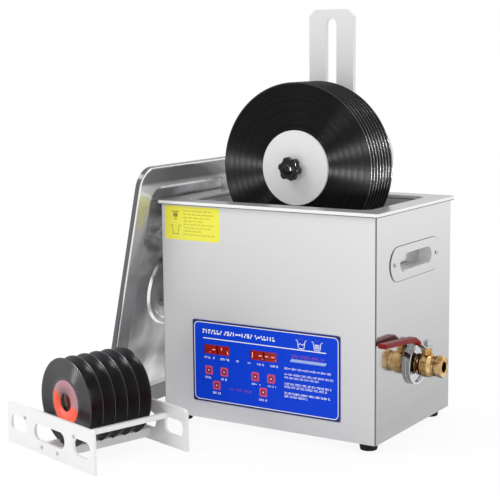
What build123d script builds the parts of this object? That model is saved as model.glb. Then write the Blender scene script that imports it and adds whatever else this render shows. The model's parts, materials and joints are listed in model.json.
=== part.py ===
from build123d import *
import os
from math import acos, cos, pi, radians, sin, sqrt, tan

# Ultrasonic record cleaning machine, in millimetres. +Z is up, the control panel
# faces -Y, the drain valve points along +X. The origin is on the floor, under the
# middle of the casing.

# ---- driving sizes -------------------------------------------------------------
casing_w = 432.0
casing_d = 296.0
casing_top = 404.0
foot_h = 15.0
sheet = 1.5
fold_r = 3.0
base_flange = 14.0

rim_over = 5.0
rim_t = 1.5
rim_lip = 7.0
tank_w = 368.0
tank_d = 232.0
tank_floor_z = 201.0
tank_corner_r = 22.0
tank_floor_r = 12.0
tank_t = 1.5

lp_r = 150.8
lp_t = 2.0
lp_slip = 0.07
lp_count = 8
lp_pitch = 11.0
lp_behind = 8.0
spindle_rise = 56.5
spindle_r = 3.55
spindle_tail_r = 6.0
clamp_r = 66.5
front_plate_t = 5.0
rear_plate_t = 4.0
spacer_r = 52.0

mast_w = 91.0
mast_t = 10.0
mast_gap = 25.0
mast_drop = 105.5
mast_rise = 334.5
mast_corner = 12.0
slot_w = 22.0
slot_foot = 5.0
slot_end = 16.0

gear_module = 1.5
gear_teeth = 64
pinion_teeth = 16
gear_face = 10.0
backlash = 0.35
mesh_angle = 14.835
mesh_side_gap = 1.7
motor_r = 25.0
motor_len = 18.0
drum_r = 70.0
drive_wall = 3.0
drive_room = 4.0
cover_t = 4.0
stud_r = 4.0

panel_w = 300.0
panel_h = 148.5
panel_z = 120.8
panel_t = 1.2
key_size = 16.0
key_proud = 0.5
key_travel = 0.5

handle_drop = 93.0
handle_len = 197.0
handle_h = 59.0
pocket_len = 125.0
pocket_h = 31.0
pocket_depth = 24.0

drain_in = 34.0
drain_z = 126.0
drain_pipe_r = 9.0
drain_bore_r = 6.5
valve_len = 36.0
valve_body_r = 21.0
valve_bore_r = 8.0
ball_r = 13.0
outlet_len = 14.0
outlet_bore_r = 9.5
escutcheon_r = 36.5
stem_r = 4.5
tongue_t = 4.0
neck_h = 32.0
strap_t = 2.5
strap_w = 13.0
lever_len = 152.0
lever_yaw = 4.5
crank_in = -14.0
crank_out = -50.0
crank_rise = 21.0
sleeve_in = -34.0
sleeve_w = 17.0
sleeve_t = 8.5

lid_end_gap = 17.0
lid_side_gap = 6.0
lid_skirt = 11.0
lid_t = 1.2
lid_border = 36.0
lid_corner_r = 35.0
lid_recess = 6.0
lid_edge_r = 4.0
lid_lean = 12.0
lid_front_y = -208.0
lid_ring_r = 71.5
lid_ring_half = 8.5
bow_span = 96.0
bow_rise = 24.0

rack_len = 265.0
rack_depth = 192.0
rack_h = 73.0
rack_t = 5.0
rack_x = -218.0
rack_y = -342.5
rack_yaw = -17.0
comb_x = 24.0
comb_low = 5.0
comb_high = 19.0
guide_low = 48.0
guide_high = 57.0
single_r = 76.0
single_t = 1.8
single_hole_r = 15.9
single_count = 6
single_pitch = 24.4
single_foot = 12.0

fan_x = -120.0
fan_z = 96.0
fan_size = 80.0
fan_depth = 25.0
blade_count = 7

horn_h = 24.0
horn_top_r = 29.0
horn_low_r = 19.0
piezo_t = 5.0
tail_h = 18.0
board_t = 1.6
key_flange_t = 0.8

socket_x = 118.0
socket_z = 70.0
socket_w = 27.0
socket_h = 19.5
socket_depth = 22.0
switch_x = 158.0
switch_z = 70.0
switch_w = 13.0
switch_h = 19.5
switch_depth = 15.0
rocker_throw = 16.0

leg_t = 3.0
bracket_half = 42.0
inner_leg_drop = 99.5
outer_leg_drop = 63.5
screw_x = 28.0
screw_drops = [83.5, 33.5]
thumb_x = 22.0
thumb_drop = 43.5
thumb_r = 3.0
pad_r = 9.0
pad_drop = 54.5

knob_len = 28.0
knob_r = 21.0
knob_hub_r = 9.0
lobe_count = 6
lobe_turn = -11.0
flute_depth = 3.2
flute_r = 13.0

# ---- fits and clearances -------------------------------------------------------
loose = 0.3
running = 0.05
slip = 0.5

# ---- places worked out from the sizes -------------------------------------------
casing_z = foot_h
half_w = casing_w / 2
half_d = casing_d / 2
rim_z = casing_top + rim_t
tank_depth = rim_z - tank_floor_z
tank_under_z = tank_floor_z - tank_t
spindle_z = rim_z + spindle_rise
mast_y = tank_d / 2 - mast_gap
mast_bottom = rim_z - mast_drop
mast_top = rim_z + mast_rise
slot_bottom = rim_z + slot_foot
slot_top = mast_top - slot_end
drive_back_y = mast_y - loose
cover_y = drive_back_y - cover_t
gear_r = gear_module * gear_teeth / 2
pinion_r = gear_module * pinion_teeth / 2
centre_distance = gear_r + pinion_r
motor_side = centre_distance * cos(radians(mesh_angle))
motor_z = spindle_z + centre_distance * sin(radians(mesh_angle))
motor_y = cover_y - motor_len
spindle_case_r = gear_r + gear_module + 2.5 + drive_wall
gear_y = motor_y - mesh_side_gap - gear_face
drive_front_y = gear_y - drive_room - drive_wall
stack_back = drive_front_y - lp_behind
lp_last_y = stack_back - lp_t / 2
lp_first_y = lp_last_y - (lp_count - 1) * lp_pitch
stack_front = lp_first_y - lp_t / 2
lp_hole_r = spindle_r + lp_slip
handle_z = casing_top - handle_drop
drain_x = tank_w / 2 - drain_in
lid_len = casing_w + 2 * rim_over + 2 * lid_end_gap
lid_width = casing_d + 2 * rim_over + 2 * lid_side_gap
single_z = single_r + single_foot
screw_rows = [rim_z - drop for drop in screw_drops]
thumb_z = rim_z - thumb_drop
pad_z = rim_z - pad_drop
wall_in_y = half_d - sheet
stem_x = half_w + 6.0 + valve_len / 2
outlet_x = half_w + 6.0 + valve_len
neck_top = drain_z + neck_h
hub_z = neck_top + slip
board_y = -wall_in_y + 11.0
leg_y = mast_y + mast_t
outer_leg_y = half_d + rim_over + 2.0
web_z = rim_z + loose
knob_y = stack_front - front_plate_t - loose
left_keys_x = -99.7
right_keys_x = -2.3
key_rows = [(-16.3, 105.0), (16.3, 105.0), (0.0, 79.0)]
window_w = 53.6
window_h = 16.8
window_z = 143.4
window_xs = [-98.6, -1.5]


# ---- small helpers ---------------------------------------------------------------
def block(x0, x1, y0, y1, z0, z1):
    """Box between two corners."""
    centre = Pos((x0 + x1) / 2, (y0 + y1) / 2, (z0 + z1) / 2)
    return centre * Box(x1 - x0, y1 - y0, z1 - z0)


def rod_x(radius, x0, x1, y, z):
    return Pos((x0 + x1) / 2, y, z) * Rot(0, 90, 0) * Cylinder(radius, x1 - x0)


def rod_y(radius, y0, y1, x, z):
    return Pos(x, (y0 + y1) / 2, z) * Rot(90, 0, 0) * Cylinder(radius, y1 - y0)


def rod_z(radius, z0, z1, x, y):
    return Pos(x, y, (z0 + z1) / 2) * Cylinder(radius, z1 - z0)


def upright(face, y0, y1):
    """Extrude a face drawn in X and Z along +Y from y0 to y1."""
    plane = Plane(origin=(0, y1, 0), x_dir=(1, 0, 0), z_dir=(0, -1, 0))
    return extrude(plane * face, amount=y1 - y0)


def turned_y(points, x, z):
    """Revolve a profile of (radius, y) points about an axis along Y."""
    profile = make_face(Polyline([(r, y) for r, y in points], close=True))
    return Pos(x, 0, z) * revolve(profile, Axis.Y)


def turned_x(points, y, z):
    """Revolve a profile of (x, radius) points about an axis along X."""
    profile = make_face(Polyline([(x, r) for x, r in points], close=True))
    return Pos(0, y, z) * revolve(profile, Axis.X)


def pieces(*solids):
    """Separate solids of one node."""
    return Compound(children=list(solids))


def flat(solid):
    """One plain solid out of a boolean result."""
    found = solid.solids()
    return found[0] if len(found) == 1 else Compound(children=found)


# ---- housing: casing, tank, base -------------------------------------------------
def key_places():
    for x0 in (left_keys_x, right_keys_x):
        for dx, z in key_rows:
            yield x0 + dx, z


def fan_slots():
    """Radial air slots over the fan, cut with one tool each."""
    ring = fan_size * 0.29
    for step in range(12):
        slot = Rot(0, 30 * step, 0) * Pos(ring, 0, 0) * Box(fan_size * 0.26, 3 * sheet, 6)
        yield Pos(fan_x, half_d - sheet / 2, fan_z) * slot


def make_casing():
    outer = RectangleRounded(casing_w, casing_d, fold_r)
    inner = RectangleRounded(casing_w - 2 * sheet, casing_d - 2 * sheet, fold_r - sheet)
    height = casing_top - casing_z
    shell = extrude(outer, amount=height) - extrude(inner, amount=height)
    mouth = RectangleRounded(casing_w - 2 * base_flange, casing_d - 2 * base_flange, fold_r)
    flange = extrude(outer, amount=sheet) - extrude(mouth, amount=sheet)
    shell = Pos(0, 0, casing_z) * (shell + flange)
    hole = SlotOverall(pocket_len + 5, pocket_h + 5)
    side = Plane(origin=(-half_w - 1, 0, handle_z), x_dir=(0, 1, 0), z_dir=(1, 0, 0))
    shell -= extrude(side * hole, amount=casing_w + 2)
    shell -= rod_x(drain_pipe_r + 2, half_w - 5, half_w + 5, 0, drain_z)
    for x, z in key_places():
        reach = key_size / 2 + loose
        shell -= block(x - reach, x + reach, -half_d - 1, -wall_in_y + 1, z - reach, z + reach)
    for x in window_xs:
        shell -= block(x - window_w / 2, x + window_w / 2, -half_d - 1, -wall_in_y + 1,
                       window_z - window_h / 2, window_z + window_h / 2)
    for slot in fan_slots():
        shell -= slot
    shell -= socket_hole()
    shell -= switch_hole()
    return flat(shell)


def make_tank():
    """Deep drawn tub whose flange lies on the casing and turns down outside it."""
    tub = extrude(RectangleRounded(tank_w + 2 * tank_t, tank_d + 2 * tank_t, tank_corner_r + tank_t),
                  amount=casing_top - tank_under_z)
    tub = fillet(tub.edges().group_by(Axis.Z)[0], tank_floor_r + tank_t)
    tub = Pos(0, 0, tank_under_z) * tub
    rim = RectangleRounded(casing_w + 2 * rim_over, casing_d + 2 * rim_over, rim_over)
    rim_in = RectangleRounded(casing_w + 2 * rim_over - 2 * rim_t, casing_d + 2 * rim_over - 2 * rim_t,
                              rim_over - rim_t)
    plate = Pos(0, 0, casing_top) * extrude(rim, amount=rim_t)
    lip = extrude(rim, amount=rim_lip) - extrude(rim_in, amount=rim_lip)
    body = tub + plate + Pos(0, 0, rim_z - rim_lip) * lip
    cavity = extrude(RectangleRounded(tank_w, tank_d, tank_corner_r), amount=tank_depth + 1)
    cavity = fillet(cavity.edges().group_by(Axis.Z)[0], tank_floor_r)
    body -= Pos(0, 0, tank_floor_z) * cavity
    top_edges = body.edges().filter_by_position(Axis.Z, rim_z - 0.01, rim_z + 0.01)
    body = fillet(top_edges, 0.9 * rim_t)
    body -= rod_z(drain_bore_r, tank_under_z - 1, tank_floor_z + 1, drain_x, 0)
    return flat(body)


def foot_places():
    inset = 26.0
    for sx in (-1, 1):
        for sy in (-1, 1):
            yield sx * (half_w - inset), sy * (half_d - inset)


def make_base_plate():
    """Bottom cover with two banks of air slots, on the casing's inturned flange."""
    edge = sheet + slip
    plate = extrude(RectangleRounded(casing_w - 2 * edge, casing_d - 2 * edge, fold_r), amount=sheet)
    for bank in (-1, 1):
        for step in range(7):
            plate -= Pos(bank * 95, (step - 3) * 16, sheet / 2) * Box(110, 6, 3 * sheet)
    return flat(Pos(0, 0, casing_z + sheet) * plate)


def make_feet():
    top_r = 17.0
    sole_r = 14.5
    feet = []
    for x, y in foot_places():
        cone = Cone(sole_r, top_r, foot_h)
        cone = fillet(cone.edges().group_by(Axis.Z)[0], 1.5)
        feet.append(Pos(x, y, foot_h / 2) * cone)
    return pieces(*feet)


# ---- housing: control panel and boards --------------------------------------------
def make_panel_overlay():
    """Printed panel over the keys and displays, with the corners rounded."""
    face = Pos(0, panel_z) * RectangleRounded(panel_w, panel_h, 5.0)
    plate = upright(face, -half_d - panel_t, -half_d)
    for x, z in key_places():
        reach = key_size / 2 + loose
        plate -= block(x - reach, x + reach, -half_d - 9, -half_d + 1, z - reach, z + reach)
    for x in window_xs:
        plate -= block(x - window_w / 2, x + window_w / 2, -half_d - 9, -half_d + 1,
                       window_z - window_h / 2, window_z + window_h / 2)
    return flat(plate)


def make_display_windows():
    """Red filters that sit in the panel's two display openings."""
    back = -wall_in_y
    front = -half_d - panel_t
    lenses = []
    for x in window_xs:
        pane = block(x - window_w / 2, x + window_w / 2, front, back,
                     window_z - window_h / 2, window_z + window_h / 2)
        lenses.append(fillet(pane.edges().filter_by(Axis.Y), 1.0))
    return pieces(*lenses)


def make_key(x, z):
    """Key cap with a flange behind the sheet that keeps it in."""
    front = -half_d - panel_t - key_proud
    half = key_size / 2
    back = -wall_in_y + loose
    cap = block(x - half, x + half, front, back, z - half, z + half)
    cap = fillet(cap.edges().filter_by(Axis.Y), 2.5)
    cap = chamfer(cap.faces().sort_by(Axis.Y)[0].edges(), 0.4)
    lug = half + 1.0
    flange = block(x - lug, x + lug, back, back + key_flange_t, z - lug, z + lug)
    return flat(cap + flange)


def make_control_board():
    """Board behind the panel: two displays, a touch switch for each key, standoffs."""
    board = block(-125, 60, board_y, board_y + board_t, 58, 178)
    for x in window_xs:
        board += block(x - 25, x + 25, -wall_in_y + slip, board_y, window_z - 8, window_z + 8)
    key_back = -wall_in_y + loose + key_flange_t
    for x, z in key_places():
        board += block(x - 3, x + 3, board_y - 4, board_y, z - 3, z + 3)
        board += rod_y(1.75, key_back + key_travel + loose, board_y - 4, x, z)
    for x in (-119, 54):
        for z in (64, 172):
            board += rod_y(3, -wall_in_y, board_y, x, z)
    board += block(28, 52, board_y + board_t, board_y + board_t + 12, 90, 130)
    return flat(board)


def make_generator_board():
    """Ultrasonic generator on the base: board, finned heat sink, coil, capacitors."""
    floor = casing_z + 2 * sheet
    deck = floor + 9.0
    board = block(-70, 130, 10, 120, deck, deck + board_t)
    for x in (-64, 124):
        for y in (16, 114):
            board += rod_z(3, floor, deck, x, y)
    top = deck + board_t
    board += block(-20, 60, 22, 60, top, top + 6)
    for step in range(8):
        fin = 22 + step * 5.14
        board += block(-20, 60, fin, fin + 2, top + 6, top + 34)
    coil = rod_z(19, top, top + 26, 100, 85) - rod_z(8, top + 2, top + 27, 100, 85)
    board += coil
    for x in (-52, -20, 12):
        board += rod_z(11, top, top + 30, x, 92)
    return flat(board)


# ---- housing: ultrasound and heat --------------------------------------------------
def transducer_places():
    reach_x = tank_w / 2 - 69
    reach_y = tank_d / 2 - 58
    for x in (-reach_x, 0, reach_x):
        for y in (-reach_y, reach_y):
            yield x, y


def make_transducer_horns():
    horns = []
    for x, y in transducer_places():
        horns.append(Pos(x, y, tank_under_z - horn_h / 2) * Cone(horn_low_r, horn_top_r, horn_h))
    return pieces(*horns)


def make_transducer_piezos():
    """Two ceramic rings on each transducer, with the electrode's rim between them."""
    top = tank_under_z - horn_h
    stacks = []
    for x, y in transducer_places():
        rings = rod_z(horn_low_r, top - 2 * piezo_t, top, x, y)
        rings += rod_z(horn_low_r + 1.5, top - piezo_t - 0.2, top - piezo_t + 0.2, x, y)
        stacks.append(flat(rings))
    return pieces(*stacks)


def make_transducer_tails():
    """Steel back mass and its bolt's head."""
    top = tank_under_z - horn_h - 2 * piezo_t
    tails = []
    for x, y in transducer_places():
        tail = rod_z(horn_low_r, top - tail_h, top, x, y)
        head = Pos(x, y, top - tail_h - 8) * extrude(RegularPolygon(7, 6), amount=8)
        tails.append(flat(tail + head))
    return pieces(*tails)


def make_heater_pads():
    """Silicone heater mats on the tank's long walls."""
    pad_t = 1.6
    pads = []
    for side in (-1, 1):
        y0 = side * (tank_d / 2 + tank_t)
        face = Pos(0, tank_floor_z + 62) * RectangleRounded(280, 78, 8)
        low, high = sorted((y0, y0 + side * pad_t))
        pads.append(upright(face, low, high))
    return pieces(*pads)


# ---- housing: handles ----------------------------------------------------------------
def make_handle_cups():
    """Recessed carrying handles: stadium flange, finger pocket, and a grip lip below."""
    wall = 1.2
    flange_t = 1.6
    x0 = half_w
    side = Plane(origin=(x0, 0, handle_z), x_dir=(0, 1, 0), z_dir=(1, 0, 0))
    flange = extrude(side * SlotOverall(handle_len, handle_h), amount=flange_t)
    flange = chamfer(flange.faces().sort_by(Axis.X)[-1].edges(), 0.8)
    cup = extrude(side * SlotOverall(pocket_len + 2 * wall, pocket_h + 2 * wall), amount=-pocket_depth)
    hollow = SlotOverall(pocket_len, pocket_h)
    inside = Plane(origin=(x0 + flange_t + 1, 0, handle_z), x_dir=(0, 1, 0), z_dir=(1, 0, 0))
    depth = pocket_depth - wall + flange_t + 1
    right = flange + cup - extrude(inside * hollow, amount=-depth)
    lip_z = handle_z - pocket_h / 2
    lip_len = pocket_len - pocket_h
    lip = block(x0 - 7, x0 + flange_t + 0.6, -lip_len / 2, lip_len / 2, lip_z - 0.5, lip_z + 2.2)
    lip = fillet(lip.edges().filter_by(Axis.Y), 1.2)
    right = flat(right + lip)
    left = flat(mirror(right, about=Plane.YZ))
    return pieces(right, left)


# ---- housing: drain -----------------------------------------------------------------
def make_drain_pipe():
    """Pipe from the tank's floor, through an elbow, to the valve."""
    bend = 22.0
    end_x = half_w + 6.0
    route = Polyline((drain_x, 0, tank_under_z), (drain_x, 0, drain_z), (end_x, 0, drain_z))
    path = FilletPolyline((drain_x, 0, tank_under_z), (drain_x, 0, drain_z), (end_x, 0, drain_z),
                          radius=bend)
    start = Plane(origin=route @ 0, z_dir=(0, 0, -1))
    pipe = sweep(start * Circle(drain_pipe_r), path=path)
    pipe -= sweep(start * Circle(drain_bore_r), path=path)
    collar = rod_z(drain_pipe_r + 7, tank_under_z - 4, tank_under_z, drain_x, 0)
    collar -= rod_z(drain_pipe_r - 1, tank_under_z - 5, tank_under_z + 1, drain_x, 0)
    return flat(pipe + collar)


def make_drain_flange():
    """Dished escutcheon on the casing, with a raised lip round its edge."""
    x0 = half_w
    hole = drain_pipe_r + loose
    lip = escutcheon_r - 4.0
    points = [(x0, hole), (x0, escutcheon_r), (x0 + 7, escutcheon_r), (x0 + 8, escutcheon_r - 1),
              (x0 + 8, lip), (x0 + 3.5, lip - 2.5), (x0 + 3.5, hole)]
    return turned_x(points, 0, drain_z)


def hexagon_x(across, x0, x1):
    """Hexagonal nut along X with its corners chamfered, two of them up and down."""
    plane = Plane(origin=(x0, 0, drain_z), x_dir=(0, 1, 0), z_dir=(1, 0, 0))
    nut = extrude(plane * Rot(0, 0, 90) * RegularPolygon(across / 2, 6, major_radius=False),
                  amount=x1 - x0)
    guard = rod_x(across * 0.565, x0, x1, 0, drain_z)
    return nut & chamfer(guard.edges(), 1.4)


def make_valve_body():
    """Brass ball valve body: hexagon end, round belly, neck for the stem."""
    x0 = half_w + 6.0
    x1 = outlet_x
    body = hexagon_x(34, x0, x0 + 7)
    points = [(x0 + 5, 0), (x0 + 5, 15.5), (x0 + 8, 16.5), (x0 + 12, valve_body_r - 1),
              (x0 + 15, valve_body_r), (x1 - 11, valve_body_r), (x1 - 7, valve_body_r - 1.5),
              (x1 - 5, 18.0), (x1, 18.0), (x1, 0)]
    body += turned_x(points, 0, drain_z)
    body += rod_z(9.0, drain_z, neck_top - 3, stem_x, 0)
    body += Pos(stem_x, 0, neck_top - 3) * extrude(RegularPolygon(10, 6), amount=3)
    body -= rod_x(valve_bore_r, x0 - 1, x1, 0, drain_z)
    body -= Pos(stem_x, 0, drain_z) * Sphere(ball_r + loose)
    body -= rod_x(ball_r + loose, stem_x, x1 + 1, 0, drain_z)
    body -= rod_z(stem_r + running, drain_z, neck_top + 1, stem_x, 0)
    return flat(body)


def make_valve_end_piece():
    """Screwed end: a shoulder, then a hexagon round the outlet. It also holds the ball in."""
    x1 = outlet_x
    end = x1 + outlet_len
    nose_r = ball_r + loose - running
    seat_x = stem_x + sqrt(ball_r ** 2 - valve_bore_r ** 2) + 0.55
    points = [(seat_x, valve_bore_r), (seat_x, nose_r), (x1 + 0.2, nose_r),
              (x1 + 0.2, 16.5), (end - 1, 16.5), (end - 1, outlet_bore_r), (x1 + 4, outlet_bore_r),
              (x1 + 4, valve_bore_r)]
    core = turned_x(points, 0, drain_z)
    nut = hexagon_x(35, x1 + 3.5, end) - rod_x(12.0, x1, end + 1, 0, drain_z)
    mouth = rod_x(15.0, end - 2, end, 0, drain_z)
    piece = core + nut + mouth
    piece -= rod_x(outlet_bore_r, x1 + 4, end + 1, 0, drain_z)
    return flat(piece)


def make_valve_stem():
    """Stem with a tongue that turns the ball."""
    top = hub_z + strap_t + 9.5
    low = drain_z + ball_r + loose
    stem = rod_z(stem_r, low, top, stem_x, 0)
    tongue = Pos(stem_x, 0, low - 1.0) * Box(stem_r * 1.6, tongue_t, 2.6)
    return flat(stem + tongue)


def make_valve_ball():
    """Ball with its bore across the pipe while the valve is shut."""
    ball = Pos(stem_x, 0, drain_z) * Sphere(ball_r)
    ball -= rod_y(valve_bore_r - 0.5, -ball_r - 1, ball_r + 1, stem_x, drain_z)
    groove_z = drain_z + ball_r
    ball -= Pos(stem_x, 0, groove_z) * Box(2 * ball_r, tongue_t + 2 * running, 6.4)
    return flat(ball)


def lever_line(y):
    """Height of the lever's middle at y, from its hub, up the crank, to its tip."""
    hub = hub_z + strap_t / 2
    knee = hub + crank_rise
    if y > crank_in:
        return hub
    if y > crank_out:
        return hub + (knee - hub) * (crank_in - y) / (crank_in - crank_out)
    return knee + (crank_out - y) * 0.06


def lever_strip(y0, y1, thickness):
    """Side profile of the lever between two distances from its hub."""
    marks = [y for y in (y0, crank_in, crank_out, y1) if y1 <= y <= y0]
    marks = sorted(set(marks), reverse=True)
    upper = [(y, lever_line(y) + thickness / 2) for y in marks]
    lower = [(y, lever_line(y) - thickness / 2) for y in reversed(marks)]
    return make_face(Polyline(upper + lower, close=True))


def turned_lever(solid):
    """Carry a piece drawn along -Y to the stem, swung a little towards the casing."""
    return Pos(stem_x, 0, 0) * Rot(0, 0, -lever_yaw) * solid


def across_x(face, width):
    """Extrude a face drawn in Y and Z by a width that is centred on X = 0."""
    plane = Plane(origin=(-width / 2, 0, 0), x_dir=(0, 1, 0), z_dir=(1, 0, 0))
    return extrude(plane * face, amount=width)


def lever_strap():
    return across_x(lever_strip(6.0, -lever_len + 4, strap_t), strap_w)


def make_valve_lever():
    """Cranked strap with a round hub on the stem."""
    strap = lever_strap() + rod_z(10.5, hub_z, hub_z + strap_t, 0, 0)
    strap -= rod_z(stem_r, hub_z - 2, hub_z + 6, 0, 0)
    return flat(turned_lever(strap))


def make_lever_sleeve():
    """Dipped vinyl grip over the lever, open where the strap goes in."""
    grip = across_x(lever_strip(sleeve_in, -lever_len, sleeve_t), sleeve_w)
    ends = grip.edges().filter_by(Axis.X).sort_by(Axis.Y)[:2]
    grip = fillet(ends, sleeve_t * 0.4)
    grip = chamfer(grip.faces().filter_by(Axis.X).edges(), 2.0)
    return flat(turned_lever(grip - lever_strap()))


def make_lever_nut():
    z0 = hub_z + strap_t
    nut = Pos(stem_x, 0, z0) * extrude(RegularPolygon(7.5, 6), amount=7)
    nut -= rod_z(stem_r, z0 - 1, z0 + 8, stem_x, 0)
    return flat(nut)


# ---- housing: mains inlet, switch, fan ---------------------------------------------------
def socket_hole():
    reach_x = socket_w / 2 + loose
    reach_z = socket_h / 2 + loose
    return block(socket_x - reach_x, socket_x + reach_x, wall_in_y - 1, half_d + 1,
                 socket_z - reach_z, socket_z + reach_z)


def switch_hole():
    reach_x = switch_w / 2 + loose
    reach_z = switch_h / 2 + loose
    return block(switch_x - reach_x, switch_x + reach_x, wall_in_y - 1, half_d + 1,
                 switch_z - reach_z, switch_z + reach_z)


def make_power_inlet():
    """Three-pin mains inlet: flange with two ears, socket and pins."""
    face = Pos(socket_x, socket_z) * RectangleRounded(50, 24, 6)
    inlet = upright(face, half_d, half_d + 2.5)
    inlet += block(socket_x - socket_w / 2, socket_x + socket_w / 2, half_d - socket_depth, half_d,
                   socket_z - socket_h / 2, socket_z + socket_h / 2)
    well = Pos(socket_x, socket_z) * Rectangle(24, 16.5)
    well = chamfer(well.vertices().group_by(Axis.Y)[-1], 4)
    inlet -= upright(well, half_d - socket_depth + 4, half_d + 4)
    for x in (-20, 20):
        inlet -= rod_y(1.8, half_d - 1, half_d + 4, socket_x + x, socket_z)
    for x, z in ((-7, -1.5), (7, -1.5), (0, 2.5)):
        inlet += block(socket_x + x - 1, socket_x + x + 1, half_d - socket_depth + 2, half_d - 2,
                       socket_z + z - 2, socket_z + z + 2)
    return flat(inlet)


def make_switch_frame():
    face = Pos(switch_x, switch_z) * RectangleRounded(switch_w + 4, switch_h + 4, 2)
    frame = upright(face, half_d, half_d + 2)
    frame += block(switch_x - switch_w / 2, switch_x + switch_w / 2, half_d - switch_depth, half_d,
                   switch_z - switch_h / 2, switch_z + switch_h / 2)
    frame -= block(switch_x - switch_w / 2 + 1.5, switch_x + switch_w / 2 - 1.5, half_d - 9, half_d + 3,
                   switch_z - switch_h / 2 + 1.5, switch_z + switch_h / 2 - 1.5)
    frame -= rod_x(1.5 + running, switch_x - switch_w, switch_x + switch_w, half_d - 2, switch_z)
    return flat(frame)


def make_power_rocker():
    """Rocker with a shallow V, tipped to its off side, on pins in the frame."""
    half = switch_h / 2 - 1.5 - 1.4
    width = switch_w - 3 - 2 * loose
    points = [(half_d - 6, 3), (half_d - 6, -3), (half_d - 1.5, -half), (half_d + 2.6, -half),
              (half_d + 1.0, 0), (half_d + 2.6, half), (half_d - 1.5, half)]
    side = Plane(origin=(switch_x - width / 2, 0, switch_z), x_dir=(0, 1, 0), z_dir=(1, 0, 0))
    rocker = extrude(side * make_face(Polyline(points, close=True)), amount=width)
    pin = rod_x(1.5, switch_x - switch_w / 2 + 0.1, switch_x + switch_w / 2 - 0.1, half_d - 2, switch_z)
    pivot = Pos(switch_x, half_d - 2, switch_z)
    rocker = flat(rocker + pin)
    return pivot * Rot(-rocker_throw / 2, 0, 0) * pivot.inverse() * rocker


def make_fan_frame():
    """Square fan housing with a round duct, corner lugs and a motor spider."""
    y1 = wall_in_y
    y0 = y1 - fan_depth
    face = Pos(fan_x, fan_z) * RectangleRounded(fan_size, fan_size, 5)
    frame = upright(face, y0, y1)
    frame -= rod_y(fan_size * 0.475, y0 - 1, y1 + 1, fan_x, fan_z)
    waist = fan_size / 2 - 9
    for sx in (-1, 1):
        frame -= block(fan_x + sx * fan_size / 2 - 4, fan_x + sx * fan_size / 2 + 4, y0 + 4, y1 - 4,
                       fan_z - waist, fan_z + waist)
    for sz in (-1, 1):
        frame -= block(fan_x - waist, fan_x + waist, y0 + 4, y1 - 4,
                       fan_z + sz * fan_size / 2 - 4, fan_z + sz * fan_size / 2 + 4)
    frame += fan_ring(y0, y1)
    frame += rod_y(fan_size * 0.24, y0, y0 + 3, fan_x, fan_z)
    for angle in (45, 135, 225, 315):
        arm = Rot(0, angle, 0) * Pos(fan_size * 0.35, 0, 0) * Box(fan_size * 0.28, 3, 5)
        frame += Pos(fan_x, y0 + 1.5, fan_z) * arm
    frame -= rod_y(1.5 + running, y0 - 1, y0 + 4, fan_x, fan_z)
    return flat(frame)


def fan_ring(y0, y1):
    ring = rod_y(fan_size * 0.5, y0 + 1, y1 - 1, fan_x, fan_z)
    return ring - rod_y(fan_size * 0.475, y0, y1, fan_x, fan_z)


def make_fan_rotor():
    """Hub with swept blades on a pin in the frame's spider."""
    y1 = wall_in_y - 1.5
    y0 = wall_in_y - fan_depth + 3 + slip
    hub_r = fan_size * 0.22
    tip_r = fan_size * 0.475 - 1.2
    rotor = rod_y(hub_r, y0, y1, fan_x, fan_z)
    mid = (y0 + y1) / 2
    span = tip_r - hub_r + 2
    for step in range(blade_count):
        blade = Pos(hub_r - 2 + span / 2, 0, 0) * Rot(38, 0, 0) * Box(span, 1.4, 21)
        blade = Rot(0, 360 * step / blade_count, 0) * blade
        rotor += Pos(fan_x, mid, fan_z) * blade
    keep = rod_y(tip_r, y0, y1, fan_x, fan_z)
    rotor = rotor & keep
    rotor += rod_y(1.5, y0 - 3, y0 + 1, fan_x, fan_z)
    return flat(rotor)


# ---- housing: mast and its bracket ----------------------------------------------------------
def make_mast():
    """Flat bar with a long slot that the drive slides in."""
    height = mast_top - mast_bottom
    bar = Pos(0, mast_bottom + height / 2) * Rectangle(mast_w, height)
    bar = chamfer(bar.vertices().group_by(Axis.Y)[-1], mast_corner)
    slot_mid = (slot_bottom + slot_top) / 2
    slot = Pos(0, slot_mid) * Rot(0, 0, 90) * SlotOverall(slot_top - slot_bottom, slot_w)
    mast = upright(bar - slot, mast_y, leg_y)
    for sx in (-1, 1):
        for z in screw_rows:
            mast -= rod_y(2.75, mast_y - 1, leg_y + 1, sx * screw_x, z)
    return flat(mast)


def make_mast_bracket():
    """Folded clip over the tank's rear rim, clamped by thumb screws from outside."""
    inner = block(-bracket_half, bracket_half, leg_y, leg_y + leg_t, rim_z - inner_leg_drop, web_z + leg_t)
    web = block(-bracket_half, bracket_half, leg_y, outer_leg_y + leg_t, web_z, web_z + leg_t)
    outer = block(-bracket_half, bracket_half, outer_leg_y, outer_leg_y + leg_t,
                  rim_z - outer_leg_drop, web_z + leg_t)
    clip = inner + web + outer
    folds = clip.edges().filter_by(Axis.X).group_by(Axis.Z)[-1]
    clip = fillet(folds, leg_t * 0.9)
    for sx in (-1, 1):
        clip -= rod_y(thumb_r + running, outer_leg_y - 1, outer_leg_y + leg_t + 1, sx * thumb_x, thumb_z)
        for z in screw_rows:
            clip -= rod_y(2.75, leg_y - 1, leg_y + leg_t + 1, sx * screw_x, z)
    return flat(clip)


def make_mast_pads():
    """Rubber bumpers between the bracket and the tank's rear wall."""
    pads = []
    for sx in (-1, 1):
        pads.append(rod_y(pad_r, leg_y + leg_t, tank_d / 2, sx * screw_x, pad_z))
    return pieces(*pads)


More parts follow.
